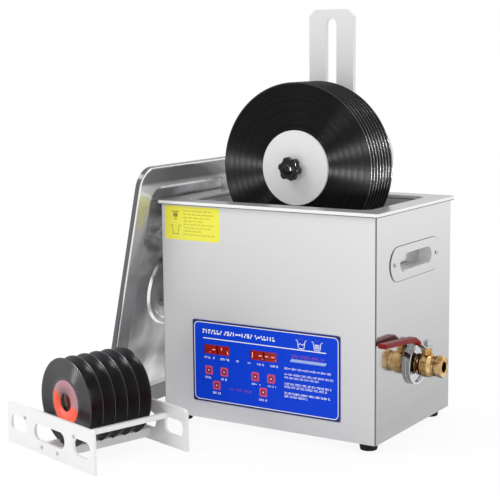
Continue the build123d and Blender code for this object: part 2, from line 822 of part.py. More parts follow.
def make_bracket_screws():
    """Two thumb screws on the casing's back and four screws through mast and leg."""
    screws = []
    for sx in (-1, 1):
        x = sx * thumb_x
        screw = rod_y(thumb_r, half_d, outer_leg_y + leg_t + 8, x, thumb_z)
        head_y = outer_leg_y + leg_t + 6
        head = rod_y(10, head_y, head_y + 10, x, thumb_z)
        for step in range(8):
            notch = Rot(0, 45 * step, 0) * Pos(11.2, 0, 0) * Rot(90, 0, 0) * Cylinder(2.2, 12)
            head -= Pos(x, head_y + 5, thumb_z) * notch
        screws.append(flat(screw + head))
        for z in screw_rows:
            pin = rod_y(2.5, mast_y - 1, leg_y + leg_t + 6, sx * screw_x, z)
            cap = rod_y(4.8, mast_y - 3, mast_y, sx * screw_x, z)
            nut_plane = Plane(origin=(sx * screw_x, leg_y + leg_t, z), x_dir=(1, 0, 0), z_dir=(0, 1, 0))
            nut = extrude(nut_plane * RegularPolygon(4.6, 6), amount=4)
            screws.append(flat(pin + cap + nut))
    return pieces(*screws)


# ---- carriage: the drive that slides on the mast ------------------------------------------------
def drive_outline(inset):
    """Pear shape round the spindle's gear and the motor's drum."""
    small = Pos(0, spindle_z) * Circle(spindle_case_r - inset)
    large = Pos(motor_side, motor_z) * Circle(drum_r - inset)
    return make_face(make_hull(small.edges() + large.edges()).edges())


def make_gearbox_front():
    """Moulded front shell with bushes for the spindle and a gland for its lead."""
    shell = upright(drive_outline(0), drive_front_y, cover_y)
    shell = fillet(shell.faces().sort_by(Axis.Y)[0].edges(), 5.0)
    shell -= upright(drive_outline(drive_wall), drive_front_y + drive_wall, cover_y + 1)
    shell += rod_y(10, drive_front_y + drive_wall - 1, gear_y - slip, 0, spindle_z)
    shell -= rod_y(spindle_tail_r + running, drive_front_y - 1, gear_y + 1, 0, spindle_z)
    gland_dir = radians(49)
    gland = Rot(0, 90 - 49, 0) * Cylinder(3.6, 14)
    reach = drum_r + 4
    gland = Pos(motor_side + reach * cos(gland_dir), (drive_front_y + cover_y) / 2,
                motor_z + reach * sin(gland_dir)) * gland
    shell += gland
    return flat(shell)


def make_gearbox_back():
    """Back cover with the spindle's rear bush and the block that runs in the mast's slot."""
    cover = upright(drive_outline(0), cover_y, drive_back_y)
    cover += rod_y(12, cover_y - 8, cover_y, 0, spindle_z)
    cover -= rod_y(spindle_tail_r + running, cover_y - 9, cover_y + 1.5, 0, spindle_z)
    half = slot_w / 2 - loose
    guide = block(-half, half, drive_back_y, leg_y - loose, spindle_z - 20, spindle_z + 20)
    cover += chamfer(guide.edges().filter_by(Axis.Y), 3)
    cover -= rod_y(stud_r, cover_y + 1.8, leg_y + 1, 0, spindle_z)
    return flat(cover)


def make_motor():
    """Pancake geared motor on the cover, held by two ears."""
    motor = rod_y(motor_r, motor_y, cover_y, motor_side, motor_z)
    motor = chamfer(motor.edges().group_by(Axis.Y)[0], 1.5)
    for side in (-1, 1):
        ear = Pos(motor_side, 0, motor_z) * Rot(0, 45, 0)
        motor += ear * block(side * 31 - 7, side * 31 + 7, cover_y - 2, cover_y, -6, 6)
    motor -= rod_y(3 + running, motor_y - 1, motor_y + 6, motor_side, motor_z)
    return flat(motor)


def make_clamp_stud():
    """Stud from the cover through the slot, for the lock knob."""
    return flat(rod_y(stud_r, cover_y + 2, leg_y + 22, 0, spindle_z))


def make_lock_knob():
    """Fluted hand nut and washer that clamp the drive to the mast."""
    y0 = leg_y + loose
    knob = turned_y([(0, y0), (16, y0), (16, y0 + 2), (13, y0 + 2), (13, y0 + 5), (21, y0 + 7),
                     (22, y0 + 9), (22, y0 + 18), (20, y0 + 20), (0, y0 + 20)], 0, spindle_z)
    for step in range(10):
        flute = Rot(0, 36 * step, 0) * Pos(24.5, 0, 0) * Rot(90, 0, 0) * Cylinder(4.5, 40)
        knob -= Pos(0, y0 + 25.5, spindle_z) * flute
    knob -= rod_y(stud_r + running, y0 - 1, y0 + 24, 0, spindle_z)
    return flat(knob)


# ---- gears ---------------------------------------------------------------------------------------
def involute_point(base_r, radius, start):
    """Point at a radius on the involute of a base circle that begins at an angle."""
    spread = acos(min(1.0, base_r / radius))
    angle = start + tan(spread) - spread
    return radius * cos(angle), radius * sin(angle)


def gear_face_profile(teeth, clearance_r):
    """Spur gear outline with involute flanks; its first tooth is centred on angle 0."""
    pressure = radians(20)
    pitch_r = gear_module * teeth / 2
    base_r = pitch_r * cos(pressure)
    tip_r = pitch_r + 0.95 * gear_module
    root_r = pitch_r - 1.25 * gear_module
    thick = pi * gear_module / 2 - backlash / 2
    half = thick / (2 * pitch_r) + tan(pressure) - pressure
    low_r = max(base_r, root_r)
    radii = [low_r + (tip_r - low_r) * k / 3 for k in range(4)]
    points = []
    for tooth in range(teeth):
        middle = 2 * pi * tooth / teeth
        points.append((root_r * cos(middle - half), root_r * sin(middle - half)))
        flank = [involute_point(base_r, r, -half) for r in radii]
        for x, y in flank:
            points.append((x * cos(middle) - y * sin(middle), x * sin(middle) + y * cos(middle)))
        for x, y in reversed(flank):
            points.append((x * cos(middle) + y * sin(middle), x * sin(middle) - y * cos(middle)))
        points.append((root_r * cos(middle + half), root_r * sin(middle + half)))
    outline = make_face(Polyline(points, close=True))
    return outline - Circle(clearance_r)


def make_drive_gear():
    """Large gear on the spindle, lightened by five round windows."""
    face = Rot(0, 0, mesh_angle) * gear_face_profile(gear_teeth, spindle_tail_r)
    for place in PolarLocations(gear_r * 0.56, 5):
        face -= place * Circle(gear_r * 0.2)
    gear = upright(Pos(0, spindle_z) * face, gear_y, gear_y + gear_face)
    hub = rod_y(11, gear_y + gear_face, gear_y + gear_face + 5, 0, spindle_z)
    hub -= rod_y(spindle_tail_r, gear_y, gear_y + gear_face + 6, 0, spindle_z)
    return flat(gear + hub)


def make_motor_pinion():
    """Pinion with its shaft in the motor's nose, a gap turned to the gear's tooth."""
    turn = 180 + mesh_angle + 180 / pinion_teeth
    face = Rot(0, 0, turn) * gear_face_profile(pinion_teeth, 1.0)
    pinion = upright(Pos(motor_side, motor_z) * face, gear_y - 0.5, gear_y + gear_face + 0.5)
    pinion += rod_y(3, gear_y, motor_y + 5, motor_side, motor_z)
    return flat(pinion)


# ---- spindle: records and what clamps them ---------------------------------------------------------
def make_spindle_shaft():
    """Thin in front for the records, thick behind for the bushes and the gear."""
    nose_y = knob_y - knob_len + 7
    tail_y = cover_y + 1.2
    return flat(turned_y([(0, nose_y), (spindle_r - 1, nose_y), (spindle_r, nose_y + 1),
                          (spindle_r, stack_back + rear_plate_t), (spindle_tail_r, stack_back + rear_plate_t),
                          (spindle_tail_r, tail_y - 1), (spindle_tail_r - 1, tail_y), (0, tail_y)],
                         0, spindle_z))


def clamp_disc(y0, y1):
    disc = rod_y(clamp_r, y0, y1, 0, spindle_z)
    disc = chamfer(disc.edges(), 0.8)
    return flat(disc - rod_y(spindle_r + running, y0 - 1, y1 + 1, 0, spindle_z))


def make_rear_plate():
    return clamp_disc(stack_back, stack_back + rear_plate_t)


def make_front_plate():
    return clamp_disc(stack_front - front_plate_t, stack_front)


def make_records():
    """Stack of long playing records with a raised label and a thick edge."""
    records = []
    for step in range(lp_count):
        y = lp_first_y + step * lp_pitch
        half = lp_t / 2
        thin = half - 0.25
        points = [(lp_hole_r, y - half), (51, y - half), (52, y - thin), (lp_r - 1, y - thin),
                  (lp_r, y), (lp_r - 1, y + thin), (52, y + thin), (51, y + half), (lp_hole_r, y + half)]
        records.append(turned_y(points, 0, spindle_z))
    return pieces(*records)


def make_spacers():
    """Label guards between the records."""
    spacers = []
    for step in range(lp_count - 1):
        y0 = lp_first_y + step * lp_pitch + lp_t / 2
        y1 = y0 + lp_pitch - lp_t
        guard = rod_y(spacer_r - 2, y0, y1, 0, spindle_z)
        spacers.append(flat(guard - rod_y(spindle_r + running, y0 - 1, y1 + 1, 0, spindle_z)))
    return pieces(*spacers)


def make_star_knob():
    """Lobed clamping knob on a long hub, with a domed cap."""
    lobe_y = knob_y - knob_len + 5
    lobe_t = 12.0
    star = Circle(knob_r)
    flute_ring = knob_r - flute_depth + flute_r
    for place in PolarLocations(flute_ring, lobe_count, start_angle=lobe_turn + 180 / lobe_count):
        star -= place * Circle(flute_r)
    star = fillet(star.vertices(), 1.6)
    knob = upright(Pos(0, spindle_z) * star, lobe_y, lobe_y + lobe_t)
    knob = fillet(knob.faces().sort_by(Axis.Y)[0].edges(), 2.4)
    knob += rod_y(knob_hub_r, lobe_y + lobe_t - 1, knob_y, 0, spindle_z)
    knob += rod_y(knob_hub_r + 2, knob_y - 4, knob_y, 0, spindle_z)
    dome = Pos(0, knob_y - knob_len + 14, spindle_z) * Sphere(14)
    knob += dome & rod_y(knob_r / 2, knob_y - knob_len, lobe_y + 4, 0, spindle_z)
    knob -= rod_y(spindle_r + running, knob_y - knob_len + 6, knob_y + 1, 0, spindle_z)
    return flat(knob)


# ---- lid, taken off and leant on the rim ----------------------------------------------------------
def lid_place():
    """Carries a lid drawn flat, top face up, to where it leans on the left rim."""
    touch_x = -half_w - rim_over - loose
    lean = radians(lid_lean)
    foot_x = touch_x - rim_z * tan(lean)
    drop = lid_edge_r * (cos(lean) + sin(lean) - 1)
    spin = Rot(0, 90 + lid_lean, 0)
    return Pos(foot_x, lid_front_y + lid_width / 2, -drop) * spin * Pos(-lid_len / 2, 0, -lid_skirt)


def make_lid_pan():
    """Pressed lid: skirt, flat border, sunk panel with a ring, hollow below."""
    skin = extrude(RectangleRounded(lid_len, lid_width, lid_corner_r), amount=lid_skirt)
    skin = fillet(skin.edges().group_by(Axis.Z)[-1], lid_edge_r)
    void = extrude(RectangleRounded(lid_len - 2 * lid_t, lid_width - 2 * lid_t, lid_corner_r - lid_t),
                   amount=lid_skirt - lid_t)
    void = fillet(void.edges().group_by(Axis.Z)[-1], lid_edge_r - lid_t)
    sunk_w = lid_len - 2 * lid_border
    sunk_d = lid_width - 2 * lid_border
    top = Plane(origin=(0, 0, lid_skirt))
    sink = extrude(top * RectangleRounded(sunk_w, sunk_d, 30), amount=-lid_recess, taper=50)
    under = extrude(top * RectangleRounded(sunk_w + 2 * lid_t, sunk_d + 2 * lid_t, 30 + lid_t),
                    amount=-lid_recess - lid_t, taper=50)
    pan = skin - void + under - sink
    floor = lid_skirt - lid_recess
    inner = lid_ring_r - lid_ring_half
    outer = lid_ring_r + lid_ring_half
    ridge = make_face(Polyline([(inner, floor - 0.2), (inner + 4.5, floor + 4), (outer - 4.5, floor + 4),
                                (outer, floor - 0.2)], close=True))
    hollow = make_face(Polyline([(inner, floor - 2), (inner + 5.1, floor + 2.8),
                                 (outer - 5.1, floor + 2.8), (outer, floor - 2)], close=True))
    pan += revolve(Plane.XZ * ridge, Axis.Z)
    pan -= revolve(Plane.XZ * hollow, Axis.Z)
    return flat(lid_place() * pan)


def make_lid_handle():
    """Bow handle on the lid's sunk panel, along its length."""
    floor = lid_skirt - lid_recess
    outer = Pos(0, floor + bow_rise / 2) * Rectangle(bow_span, bow_rise)
    outer = fillet(outer.vertices().group_by(Axis.Y)[-1], 12)
    inner = Pos(0, floor + bow_rise / 2 - 2.5) * Rectangle(bow_span - 12, bow_rise - 5)
    inner = fillet(inner.vertices().group_by(Axis.Y)[-1], 8)
    bow = outer - inner
    for side in (-1, 1):
        bow += Pos(side * (bow_span / 2 + 5), floor + 1.5) * Rectangle(12, 3)
    handle = upright(bow, -9, 9)
    return flat(lid_place() * handle)


# ---- rack with its singles ----------------------------------------------------------------------------
def rack_place():
    return Pos(rack_x, rack_y, 0) * Rot(0, 0, rack_yaw)


def single_rows():
    first = -(single_count - 1) * single_pitch / 2
    return [first + step * single_pitch for step in range(single_count)]


def make_rack_ends():
    """Two end plates, each lightened by three rounded windows."""
    plate = Pos(0, rack_h / 2) * Rectangle(rack_len, rack_h)
    plate = fillet(plate.vertices().group_by(Axis.Y)[-1], 10)
    window_mid = rack_h * 0.5
    window_high = rack_h * 0.39
    plate -= Pos(0, window_mid) * RectangleRounded(rack_len * 0.352, window_high, window_high * 0.45)
    for side in (-1, 1):
        place = Pos(side * rack_len * 0.365, window_mid)
        plate -= place * RectangleRounded(rack_len * 0.19, window_high, window_high * 0.4)
    ends = []
    for side in (-1, 1):
        middle = side * (rack_depth - rack_t) / 2
        ends.append(rack_place() * upright(plate, middle - rack_t / 2, middle + rack_t / 2))
    return pieces(*ends)


def make_rack_bars():
    """Two notched bars under the singles and two plain ones beside them."""
    reach = rack_depth / 2 - rack_t
    side_x = single_r - 1
    bars = []
    for side in (-1, 1):
        x = side * comb_x
        comb = block(x - 4, x + 4, -reach, reach, comb_low, comb_high)
        for y in single_rows():
            comb -= rod_y(single_r + loose, y - single_t / 2 - loose, y + single_t / 2 + loose, 0, single_z)
        bars.append(rack_place() * flat(comb))
    for side in (-1, 1):
        x = side * side_x
        bar = block(x - 4, x + 4, -reach, reach, guide_low, guide_high)
        bars.append(rack_place() * flat(chamfer(bar.edges().filter_by(Axis.Y), 0.8)))
    return pieces(*bars)


def make_single(step):
    """Small record with a large centre hole and a raised label."""
    y = single_rows()[step]
    half = single_t / 2
    thin = half - 0.25
    label = 38.0
    points = [(single_hole_r, y - half), (label, y - half), (label + 1, y - thin),
              (single_r - 2.5, y - thin), (single_r - 1, y - half + 0.1), (single_r, y),
              (single_r - 1, y + half - 0.1), (single_r - 2.5, y + thin), (label + 1, y + thin),
              (label, y + half), (single_hole_r, y + half)]
    return flat(rack_place() * turned_y(points, 0, single_z))


# ---- every node ----------------------------------------------------------------------------------------
def all_nodes():
    nodes = {
        "casing": make_casing(),
        "tank": make_tank(),
        "base_plate": make_base_plate(),
        "feet": make_feet(),
        "panel_overlay": make_panel_overlay(),
        "display_windows": make_display_windows(),
        "control_board": make_control_board(),
        "generator_board": make_generator_board(),
        "transducer_horns": make_transducer_horns(),
        "transducer_piezos": make_transducer_piezos(),
        "transducer_tails": make_transducer_tails(),
        "heater_pads": make_heater_pads(),
        "handle_cups": make_handle_cups(),
        "drain_pipe": make_drain_pipe(),
        "drain_flange": make_drain_flange(),
        "valve_body": make_valve_body(),
        "valve_end_piece": make_valve_end_piece(),
        "valve_stem": make_valve_stem(),
        "valve_ball": make_valve_ball(),
        "valve_lever": make_valve_lever(),
        "lever_sleeve": make_lever_sleeve(),
        "lever_nut": make_lever_nut(),
        "power_inlet": make_power_inlet(),
        "switch_frame": make_switch_frame(),
        "power_rocker": make_power_rocker(),
        "fan_frame": make_fan_frame(),
        "fan_rotor": make_fan_rotor(),
        "mast": make_mast(),
        "mast_bracket": make_mast_bracket(),
        "mast_pads": make_mast_pads(),
        "bracket_screws": make_bracket_screws(),
        "gearbox_front": make_gearbox_front(),
        "gearbox_back": make_gearbox_back(),
        "motor": make_motor(),
        "clamp_stud": make_clamp_stud(),
        "lock_knob": make_lock_knob(),
        "motor_pinion": make_motor_pinion(),
        "spindle_shaft": make_spindle_shaft(),
        "drive_gear": make_drive_gear(),
        "rear_plate": make_rear_plate(),
        "front_plate": make_front_plate(),
        "records": make_records(),
        "spacers": make_spacers(),
        "star_knob": make_star_knob(),
        "lid_pan": make_lid_pan(),
        "lid_handle": make_lid_handle(),
        "rack_ends": make_rack_ends(),
        "rack_bars": make_rack_bars(),
    }
    for step in range(single_count):
        nodes[f"single_{step + 1}"] = make_single(step)
    names = ["temp_up", "temp_down", "heat", "time_up", "time_down", "start"]
    for name, (x, z) in zip(names, key_places()):
        nodes[f"key_{name}"] = make_key(x, z)
    return nodes


os.makedirs("parts", exist_ok=True)
for node_name, shape in all_nodes().items():
    export_step(shape, f"parts/{node_name}.step")
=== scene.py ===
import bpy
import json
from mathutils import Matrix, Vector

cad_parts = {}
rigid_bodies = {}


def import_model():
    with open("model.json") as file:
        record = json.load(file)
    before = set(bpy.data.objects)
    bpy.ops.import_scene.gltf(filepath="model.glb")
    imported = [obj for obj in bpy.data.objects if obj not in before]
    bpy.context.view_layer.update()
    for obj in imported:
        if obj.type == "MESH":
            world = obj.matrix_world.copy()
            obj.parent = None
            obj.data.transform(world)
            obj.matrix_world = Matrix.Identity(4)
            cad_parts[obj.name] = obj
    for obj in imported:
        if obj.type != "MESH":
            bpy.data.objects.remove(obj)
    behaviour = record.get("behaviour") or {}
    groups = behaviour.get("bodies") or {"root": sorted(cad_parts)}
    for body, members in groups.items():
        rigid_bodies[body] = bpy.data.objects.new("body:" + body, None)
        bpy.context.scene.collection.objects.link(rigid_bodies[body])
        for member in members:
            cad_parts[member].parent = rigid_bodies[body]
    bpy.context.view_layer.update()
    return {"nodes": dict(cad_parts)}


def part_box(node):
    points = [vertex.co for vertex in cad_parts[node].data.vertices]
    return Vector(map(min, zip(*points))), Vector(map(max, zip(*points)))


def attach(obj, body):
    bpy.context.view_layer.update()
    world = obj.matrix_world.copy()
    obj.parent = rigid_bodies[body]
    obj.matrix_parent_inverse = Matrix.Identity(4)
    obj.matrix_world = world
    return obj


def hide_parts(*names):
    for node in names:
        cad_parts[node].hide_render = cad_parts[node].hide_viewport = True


bl_info = {
    "name": "Record cleaning machine",
    "version": (1, 0, 0),
    "blender": (4, 5, 0),
    "location": "View3D > Sidebar > Record cleaner",
    "description": "Finishes, print and small pieces of an ultrasonic record cleaning machine",
    "category": "Object",
}

import json
import math
from functools import partial

import bpy
import numpy as np
from bpy.props import FloatProperty, FloatVectorProperty, IntProperty, PointerProperty
from mathutils import Matrix, Vector

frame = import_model()
NODES = frame["nodes"]
MM = 0.001
UP = (0, 0, 1)
# how far the lid's border lies along its own normal, in m, and how the lid leans from upright
LID_FACE = -0.30062
LID_LEAN = math.radians(102)
# the rack's turn about the upright, and from its middle to its screws, in mm
RACK_TURN = math.radians(-17)
RACK_REACH = 96.0
SINGLE_R = 76.0
# middle, width and height of the yellow label on the front, in mm
LABEL = (-148.6, 366.2, 116.0, 60.4)
# how deep print starts inside the face under it, in mm
SUNK = -0.02
# usual settings: nodes mix colours, and measure how far a vector goes along another
USUAL = {"Mix": {"data_type": "RGBA"}, "VectorMath": {"operation": "DOT_PRODUCT"}}


# ---- colours and shader nodes ------------------------------------------------------
def linear(code):
    """sRGB hex to linear: below 0.04045 divided by 12.92, above it a power of 2.4."""
    c = np.array([int(code[k : k + 2], 16) for k in (0, 2, 4)]) / 255
    c = np.where(c <= 0.04045, c / 12.92, ((c + 0.055) / 1.055) ** 2.4)
    return (*c.tolist(), 1.0)


def add_node(tree, kind, inputs=(), out=None, **settings):
    """Add one node with its settings, set or link its inputs, and give back one output.

    Inputs are named, or stand in the order of the live sockets: MapRange takes a value, the two
    ends it has and the two ends it gets, or 0 and 1, and TexNoise takes a place, the waves per
    metre and the detail, or 2. A colour can be a hex code. The output is the named one, or the
    first live one.
    """
    node = tree.nodes.new(f"ShaderNode{kind}")
    for name, value in {**USUAL.get(kind, {}), **settings}.items():
        setattr(node, name, value)
    if not isinstance(inputs, dict):
        live = [k for k, socket in enumerate(node.inputs) if socket.enabled]
        inputs = dict(zip(live, inputs))
    for name, value in inputs.items():
        if isinstance(value, bpy.types.NodeSocket):
            tree.links.new(value, node.inputs[name])
        else:
            node.inputs[name].default_value = linear(value) if isinstance(value, str) else value
    if out:
        return node.outputs[out]
    return next((socket for socket in node.outputs if socket.enabled), node)


def blank_material(name, coordinates="TexCoord", out="Object", **settings):
    """A material with an empty node tree, what adds a node to that tree, and coordinates."""
    material = bpy.data.materials.new(name)
    material.use_nodes = True
    material.node_tree.nodes.clear()
    add = partial(add_node, material.node_tree)
    return material, add, add(coordinates, out=out, **settings)


def close_material(material, inputs):
    """Link one principled surface to the output."""
    surface = add_node(material.node_tree, "BsdfPrincipled", inputs)
    add_node(material.node_tree, "OutputMaterial", {"Surface": surface})
    return material


# ---- metals ------------------------------------------------------------------------
def brushed_stainless():
    """Belt-brushed 304 sheet: long level grain, painted brighter where the light comes from above.

    The two end walls keep more of the mill's mirror than the wide walls, and each press-brake fold
    carries a thin dark line of painted shade.
    """
    material, add, place = blank_material("brushed_stainless_sheet")
    normal = add("NewGeometry", out="Normal")
    # grain lines 1.2 mm apart and about 150 mm long; the real ones are finer than a pixel
    grain_place = add("Mapping", {"Vector": place, "Scale": (7, 7, 830)})
    grain = add("TexNoise", (grain_place, 1.0, 3.0))
    # handling marks and uneven polish about 60 mm across
    cloud = add("TexNoise", (place, 16.0))
    wide, end = (add("Math", (add("VectorMath", (normal, axis)),), operation="ABSOLUTE")
                 for axis in ((0, 1, 0), (1, 0, 0)))
    fold = add("Math", (wide, end), operation="MULTIPLY")
    # painted light: the front is painted paler upwards and a little to the right, over 470 mm
    rise = add("VectorMath", (place, (0.35, 0, 1)))
    rise = add("MapRange", (rise, 0.0, 0.47))
    front = add("Mix", (rise, "C8C8C9", "EAEAEA"))
    # painted reflection: the low left of the front wall is painted paler, as if mirroring the pale
    # floor
    painted_floor_reflection = add("VectorMath", (place, (-1, 0, -1)))
    painted_floor_reflection = add("MapRange", (painted_floor_reflection, -0.04, 0.14, 0.0, 0.6))
    front = add("Mix", (painted_floor_reflection, front, "FFFFFF"))
    # painted shade: the end walls are painted darker towards the bottom
    height = add("VectorMath", (place, UP))
    height = add("MapRange", (height, 0.05, 0.38))
    side = add("Mix", (height, "ABABAC", "DCDCDC"))
    on_end = add("MapRange", (end, 0.5, 0.8))
    tone = add("Mix", (on_end, front, side))
    glint = add("MapRange", (grain, 0.3, 0.7, 0.0, 0.10))
    tone = add("Mix", (glint, tone, "FFFFFF"))
    # painted shade: a thin dark line along each press-brake fold
    fold = add("MapRange", (fold, 0.2, 0.4))
    tone = add("Mix", (fold, tone, "6F7072"))
    rough = add("MapRange", (grain, 0.3, 0.7, 0.34, 0.46))
    smoother = add("MapRange", (end, 0.5, 0.8, 0.0, 0.31))
    rough = add("Math", (rough, smoother), operation="SUBTRACT")
    handled = add("MapRange", (cloud, 0.3, 0.7, -0.02, 0.03))
    rough = add("Math", (rough, handled), operation="ADD")
    metal = add("MapRange", (end, 0.5, 0.8, 0.2, 1.0))
    bump = add("Bump", {"Height": grain, "Strength": 0.05, "Distance": 0.0003})
    return close_material(material, {
        "Base Color": tone, "Metallic": metal, "Roughness": rough, "Normal": bump})


def drawn_stainless():
    """Deep-drawn tank: satin inside, where the draw left it dull, with slow waves from the press.

    The hem's lip is painted near white as a painted highlight, a painted shadow line runs under it,
    and the level border is painted greyer as painted shade.
    """
    material, add, place = blank_material("deep_drawn_stainless")
    normal = add("NewGeometry", out="Normal")
    # press waves about 70 mm long, and buffing haze about 5 mm across
    wave = add("TexNoise", (place, 14.0, 1.5))
    haze = add("TexNoise", (place, 200.0, 3.0))
    rough = add("MapRange", (haze, 0.3, 0.7, 0.23, 0.27))
    bump = add("Bump", {"Height": wave, "Strength": 0.2, "Distance": 0.003})
    height = add("VectorMath", (place, UP))
    high = add("MapRange", (height, 0.3975, 0.3985))
    share = add("MapRange", (wave, 0.3, 0.7))
    tone = add("Mix", (share, "E4E4E5", "F4F4F5"))
    # painted highlight: the lip above the hem is painted near white
    tone = add("Mix", (high, tone, "FCFCFC"))
    # painted shadow: a thin dark line under the folded lip
    hem = add("MapRange", (height, 0.3997, 0.4001, 1.0, 0.0))
    hem = add("Math", (hem, high), operation="MULTIPLY")
    tone = add("Mix", (hem, tone, "6C6D70"))
    # painted shade: faces that look upwards, on the level border, are painted greyer
    level = add("VectorMath", (normal, UP))
    level = add("MapRange", (level, 0.4, 0.7))
    tone = add("Mix", (level, tone, "A4A4A7"))
    return close_material(material, {
        "Base Color": tone, "Metallic": 0.2, "Roughness": rough, "Normal": bump})


def lid_stainless():
    """Pressed and buffed lid: a mirror with press waves, greyer on its sunk panel, painted dark on
    its skirt as painted shade, and painted light and shade on its border and slopes.

    Depth under the border is the dot product of the place with the lid's own normal.
    """
    material, add, place = blank_material("buffed_lid_stainless")
    normal = add("NewGeometry", out="Normal")
    # press waves about 90 mm long, and buffing haze about 5 mm across
    wave = add("TexNoise", (place, 11.0))
    haze = add("TexNoise", (place, 220.0, 3.0))
    inward = (math.sin(LID_LEAN), 0, math.cos(LID_LEAN))
    depth = add("VectorMath", (place, inward))
    depth = add("Math", (depth, LID_FACE), operation="SUBTRACT")
    signed = add("VectorMath", (normal, inward))
    facing = add("Math", (signed,), operation="ABSOLUTE")
    height = add("VectorMath", (place, UP))
    share = add("MapRange", (wave, 0.38, 0.62))
    panel = add("Mix", (share, "B2B2B4", "F6F6F6"))
    # painted light and shade: the border is painted paler upwards, with a painted highlight band
    # under its top bend and painted shade above it
    share = add("MapRange", (height, 0.05, 0.40))
    border = add("Mix", (share, "8C8C8D", "C4C4C5"))
    for low, high, colour in ((0.395, 0.42, "F4F4F4"), (0.432, 0.438, "A2A2A3")):
        share = add("MapRange", (height, low, high))
        border = add("Mix", (share, border, colour))
    # painted highlight: the slopes down to the sunk panel are painted white
    share = add("MapRange", (facing, 0.93, 0.99))
    slope = add("Mix", (share, "FFFFFF", panel))
    on_border = add("MapRange", (depth, -0.0009, -0.0003))
    tone = add("Mix", (on_border, slope, border))
    # painted shade: the skirt, facing sideways, is painted dark grey
    off_skirt = add("MapRange", (facing, 0.3, 0.6))
    tone = add("Mix", (off_skirt, "6A6A6D", tone))
    outside = add("MapRange", (signed, -0.6, -0.3, 1.0, 0.0))
    outer_tone = add("Mix", (wave, "B4B4B6", "D0D0D1"))
    tone = add("Mix", (outside, tone, outer_tone))
    duller = add("MapRange", (on_border, 0.0, 1.0, 0.0, 0.4))
    metal = add("Math", (0.85, duller), operation="SUBTRACT")
    rough = add("MapRange", (haze, 0.3, 0.7, 0.14, 0.2))
    bump = add("Bump", {"Height": wave, "Strength": 0.5, "Distance": 0.004})
    return close_material(material, {
        "Base Color": tone, "Metallic": metal, "Roughness": rough, "Normal": bump})


def zinc_plated_steel():
    """Bright zinc plate: blue-grey, a little cloudy."""
    material, add, place = blank_material("bright_zinc_plate")
    # cloudy spots about 4 mm across
    cloud = add("TexNoise", (place, 260.0, 3.0))
    rough = add("MapRange", (cloud, 0.0, 1.0, 0.22, 0.38))
    tone = add("Mix", (cloud, "BFC3C6", "D6D8D9"))
    return close_material(material, {"Base Color": tone, "Metallic": 1.0, "Roughness": rough})


def chrome_plate():
    """Bright chrome: a clear mirror with the faintest haze, about 11 mm across."""
    material, add, place = blank_material("bright_chrome_plate")
    haze = add("TexNoise", (place, 90.0))
    rough = add("MapRange", (haze, 0.0, 1.0, 0.06, 0.12))
    return close_material(material, {
        "Base Color": "C4C5C8", "Metallic": 1.0, "Roughness": rough})


def chrome_flange_painted_rings():
    """Chromed flange: painted reflection rings, bright and dark by the sine of the place along its
    axis.
    """
    material, add, place = blank_material("turned_chrome_flange")
    reach = add("VectorMath", (place, (1, 0, 0)))
    # painted reflection rings 2.4 mm apart along the axis
    turns = add("Math", (reach, 2 * math.pi / (2.4 * MM)), operation="MULTIPLY")
    ring = add("Math", (turns,), operation="SINE")
    ring = add("MapRange", (ring, -0.6, 0.4))
    tone = add("Mix", (ring, "3C3D40", "D6D7DA"))
    return close_material(material, {"Base Color": tone, "Metallic": 1.0, "Roughness": 0.12})


def forged_brass():
    """Hot-forged brass: a warm, blasted skin, with painted shade in its hollows and on its
    undersides.
    """
    material, add, place = blank_material("forged_brass")
    normal = add("NewGeometry", out="Normal")
    # blasting grit about 1 mm across, and tarnish in patches about 11 mm across
    grit = add("TexNoise", (place, 900.0))
    cloud = add("TexNoise", (place, 90.0, 1.5))
    open_sky = add("AmbientOcclusion", {"Distance": 0.012}, out="AO", samples=8)
    share = add("MapRange", (cloud, 0.3, 0.7))
    tone = add("Mix", (share, "B4854A", "F4D29A"))
    # painted light and shade: faces turned up and to the front are painted bright, faces turned
    # down dark brown
    painted_light_from_above = add("VectorMath", (normal, (0.2, -0.35, 0.9)))
    painted_light_from_above = add("MapRange", (painted_light_from_above, -0.7, 0.35))
    tone = add("Mix", (painted_light_from_above, "4E3417", tone))
    # painted shade: hollows, where the ambient occlusion is low, are painted dark brown
    share = add("MapRange", (open_sky, 0.35, 0.85))
    tone = add("Mix", (share, "33210F", tone))
    rough = add("MapRange", (cloud, 0.3, 0.7, 0.14, 0.24))
    bump = add("Bump", {"Height": grit, "Strength": 0.15, "Distance": 0.0002})
    return close_material(material, {
        "Base Color": tone, "Metallic": 1.0, "Roughness": rough, "Normal": bump})


def linished_aluminium():
    """Satin aluminium plate, linished across its width: fine level lines about 1 mm apart."""
    material, add, place = blank_material("linished_aluminium_plate")
    line_place = add("Mapping", {"Vector": place, "Scale": (12, 300, 900)})
    lines = add("TexNoise", (line_place, 1.0))
    tone = add("Mix", (lines, "EAEAEA", "F0F0F0"))
    rough = add("MapRange", (lines, 0.0, 1.0, 0.36, 0.48))
    return close_material(material, {"Base Color": tone, "Metallic": 0.1, "Roughness": rough})


def turned_aluminium():
    """Bare turned aluminium of the transducers and the motor can: a soft 2 mm mottle."""
    material, add, place = blank_material("turned_aluminium")
    mottle = add("TexNoise", (place, 500.0))
    rough = add("MapRange", (mottle, 0.0, 1.0, 0.28, 0.4))
    return close_material(material, {
        "Base Color": "D9DADB", "Metallic": 1.0, "Roughness": rough})


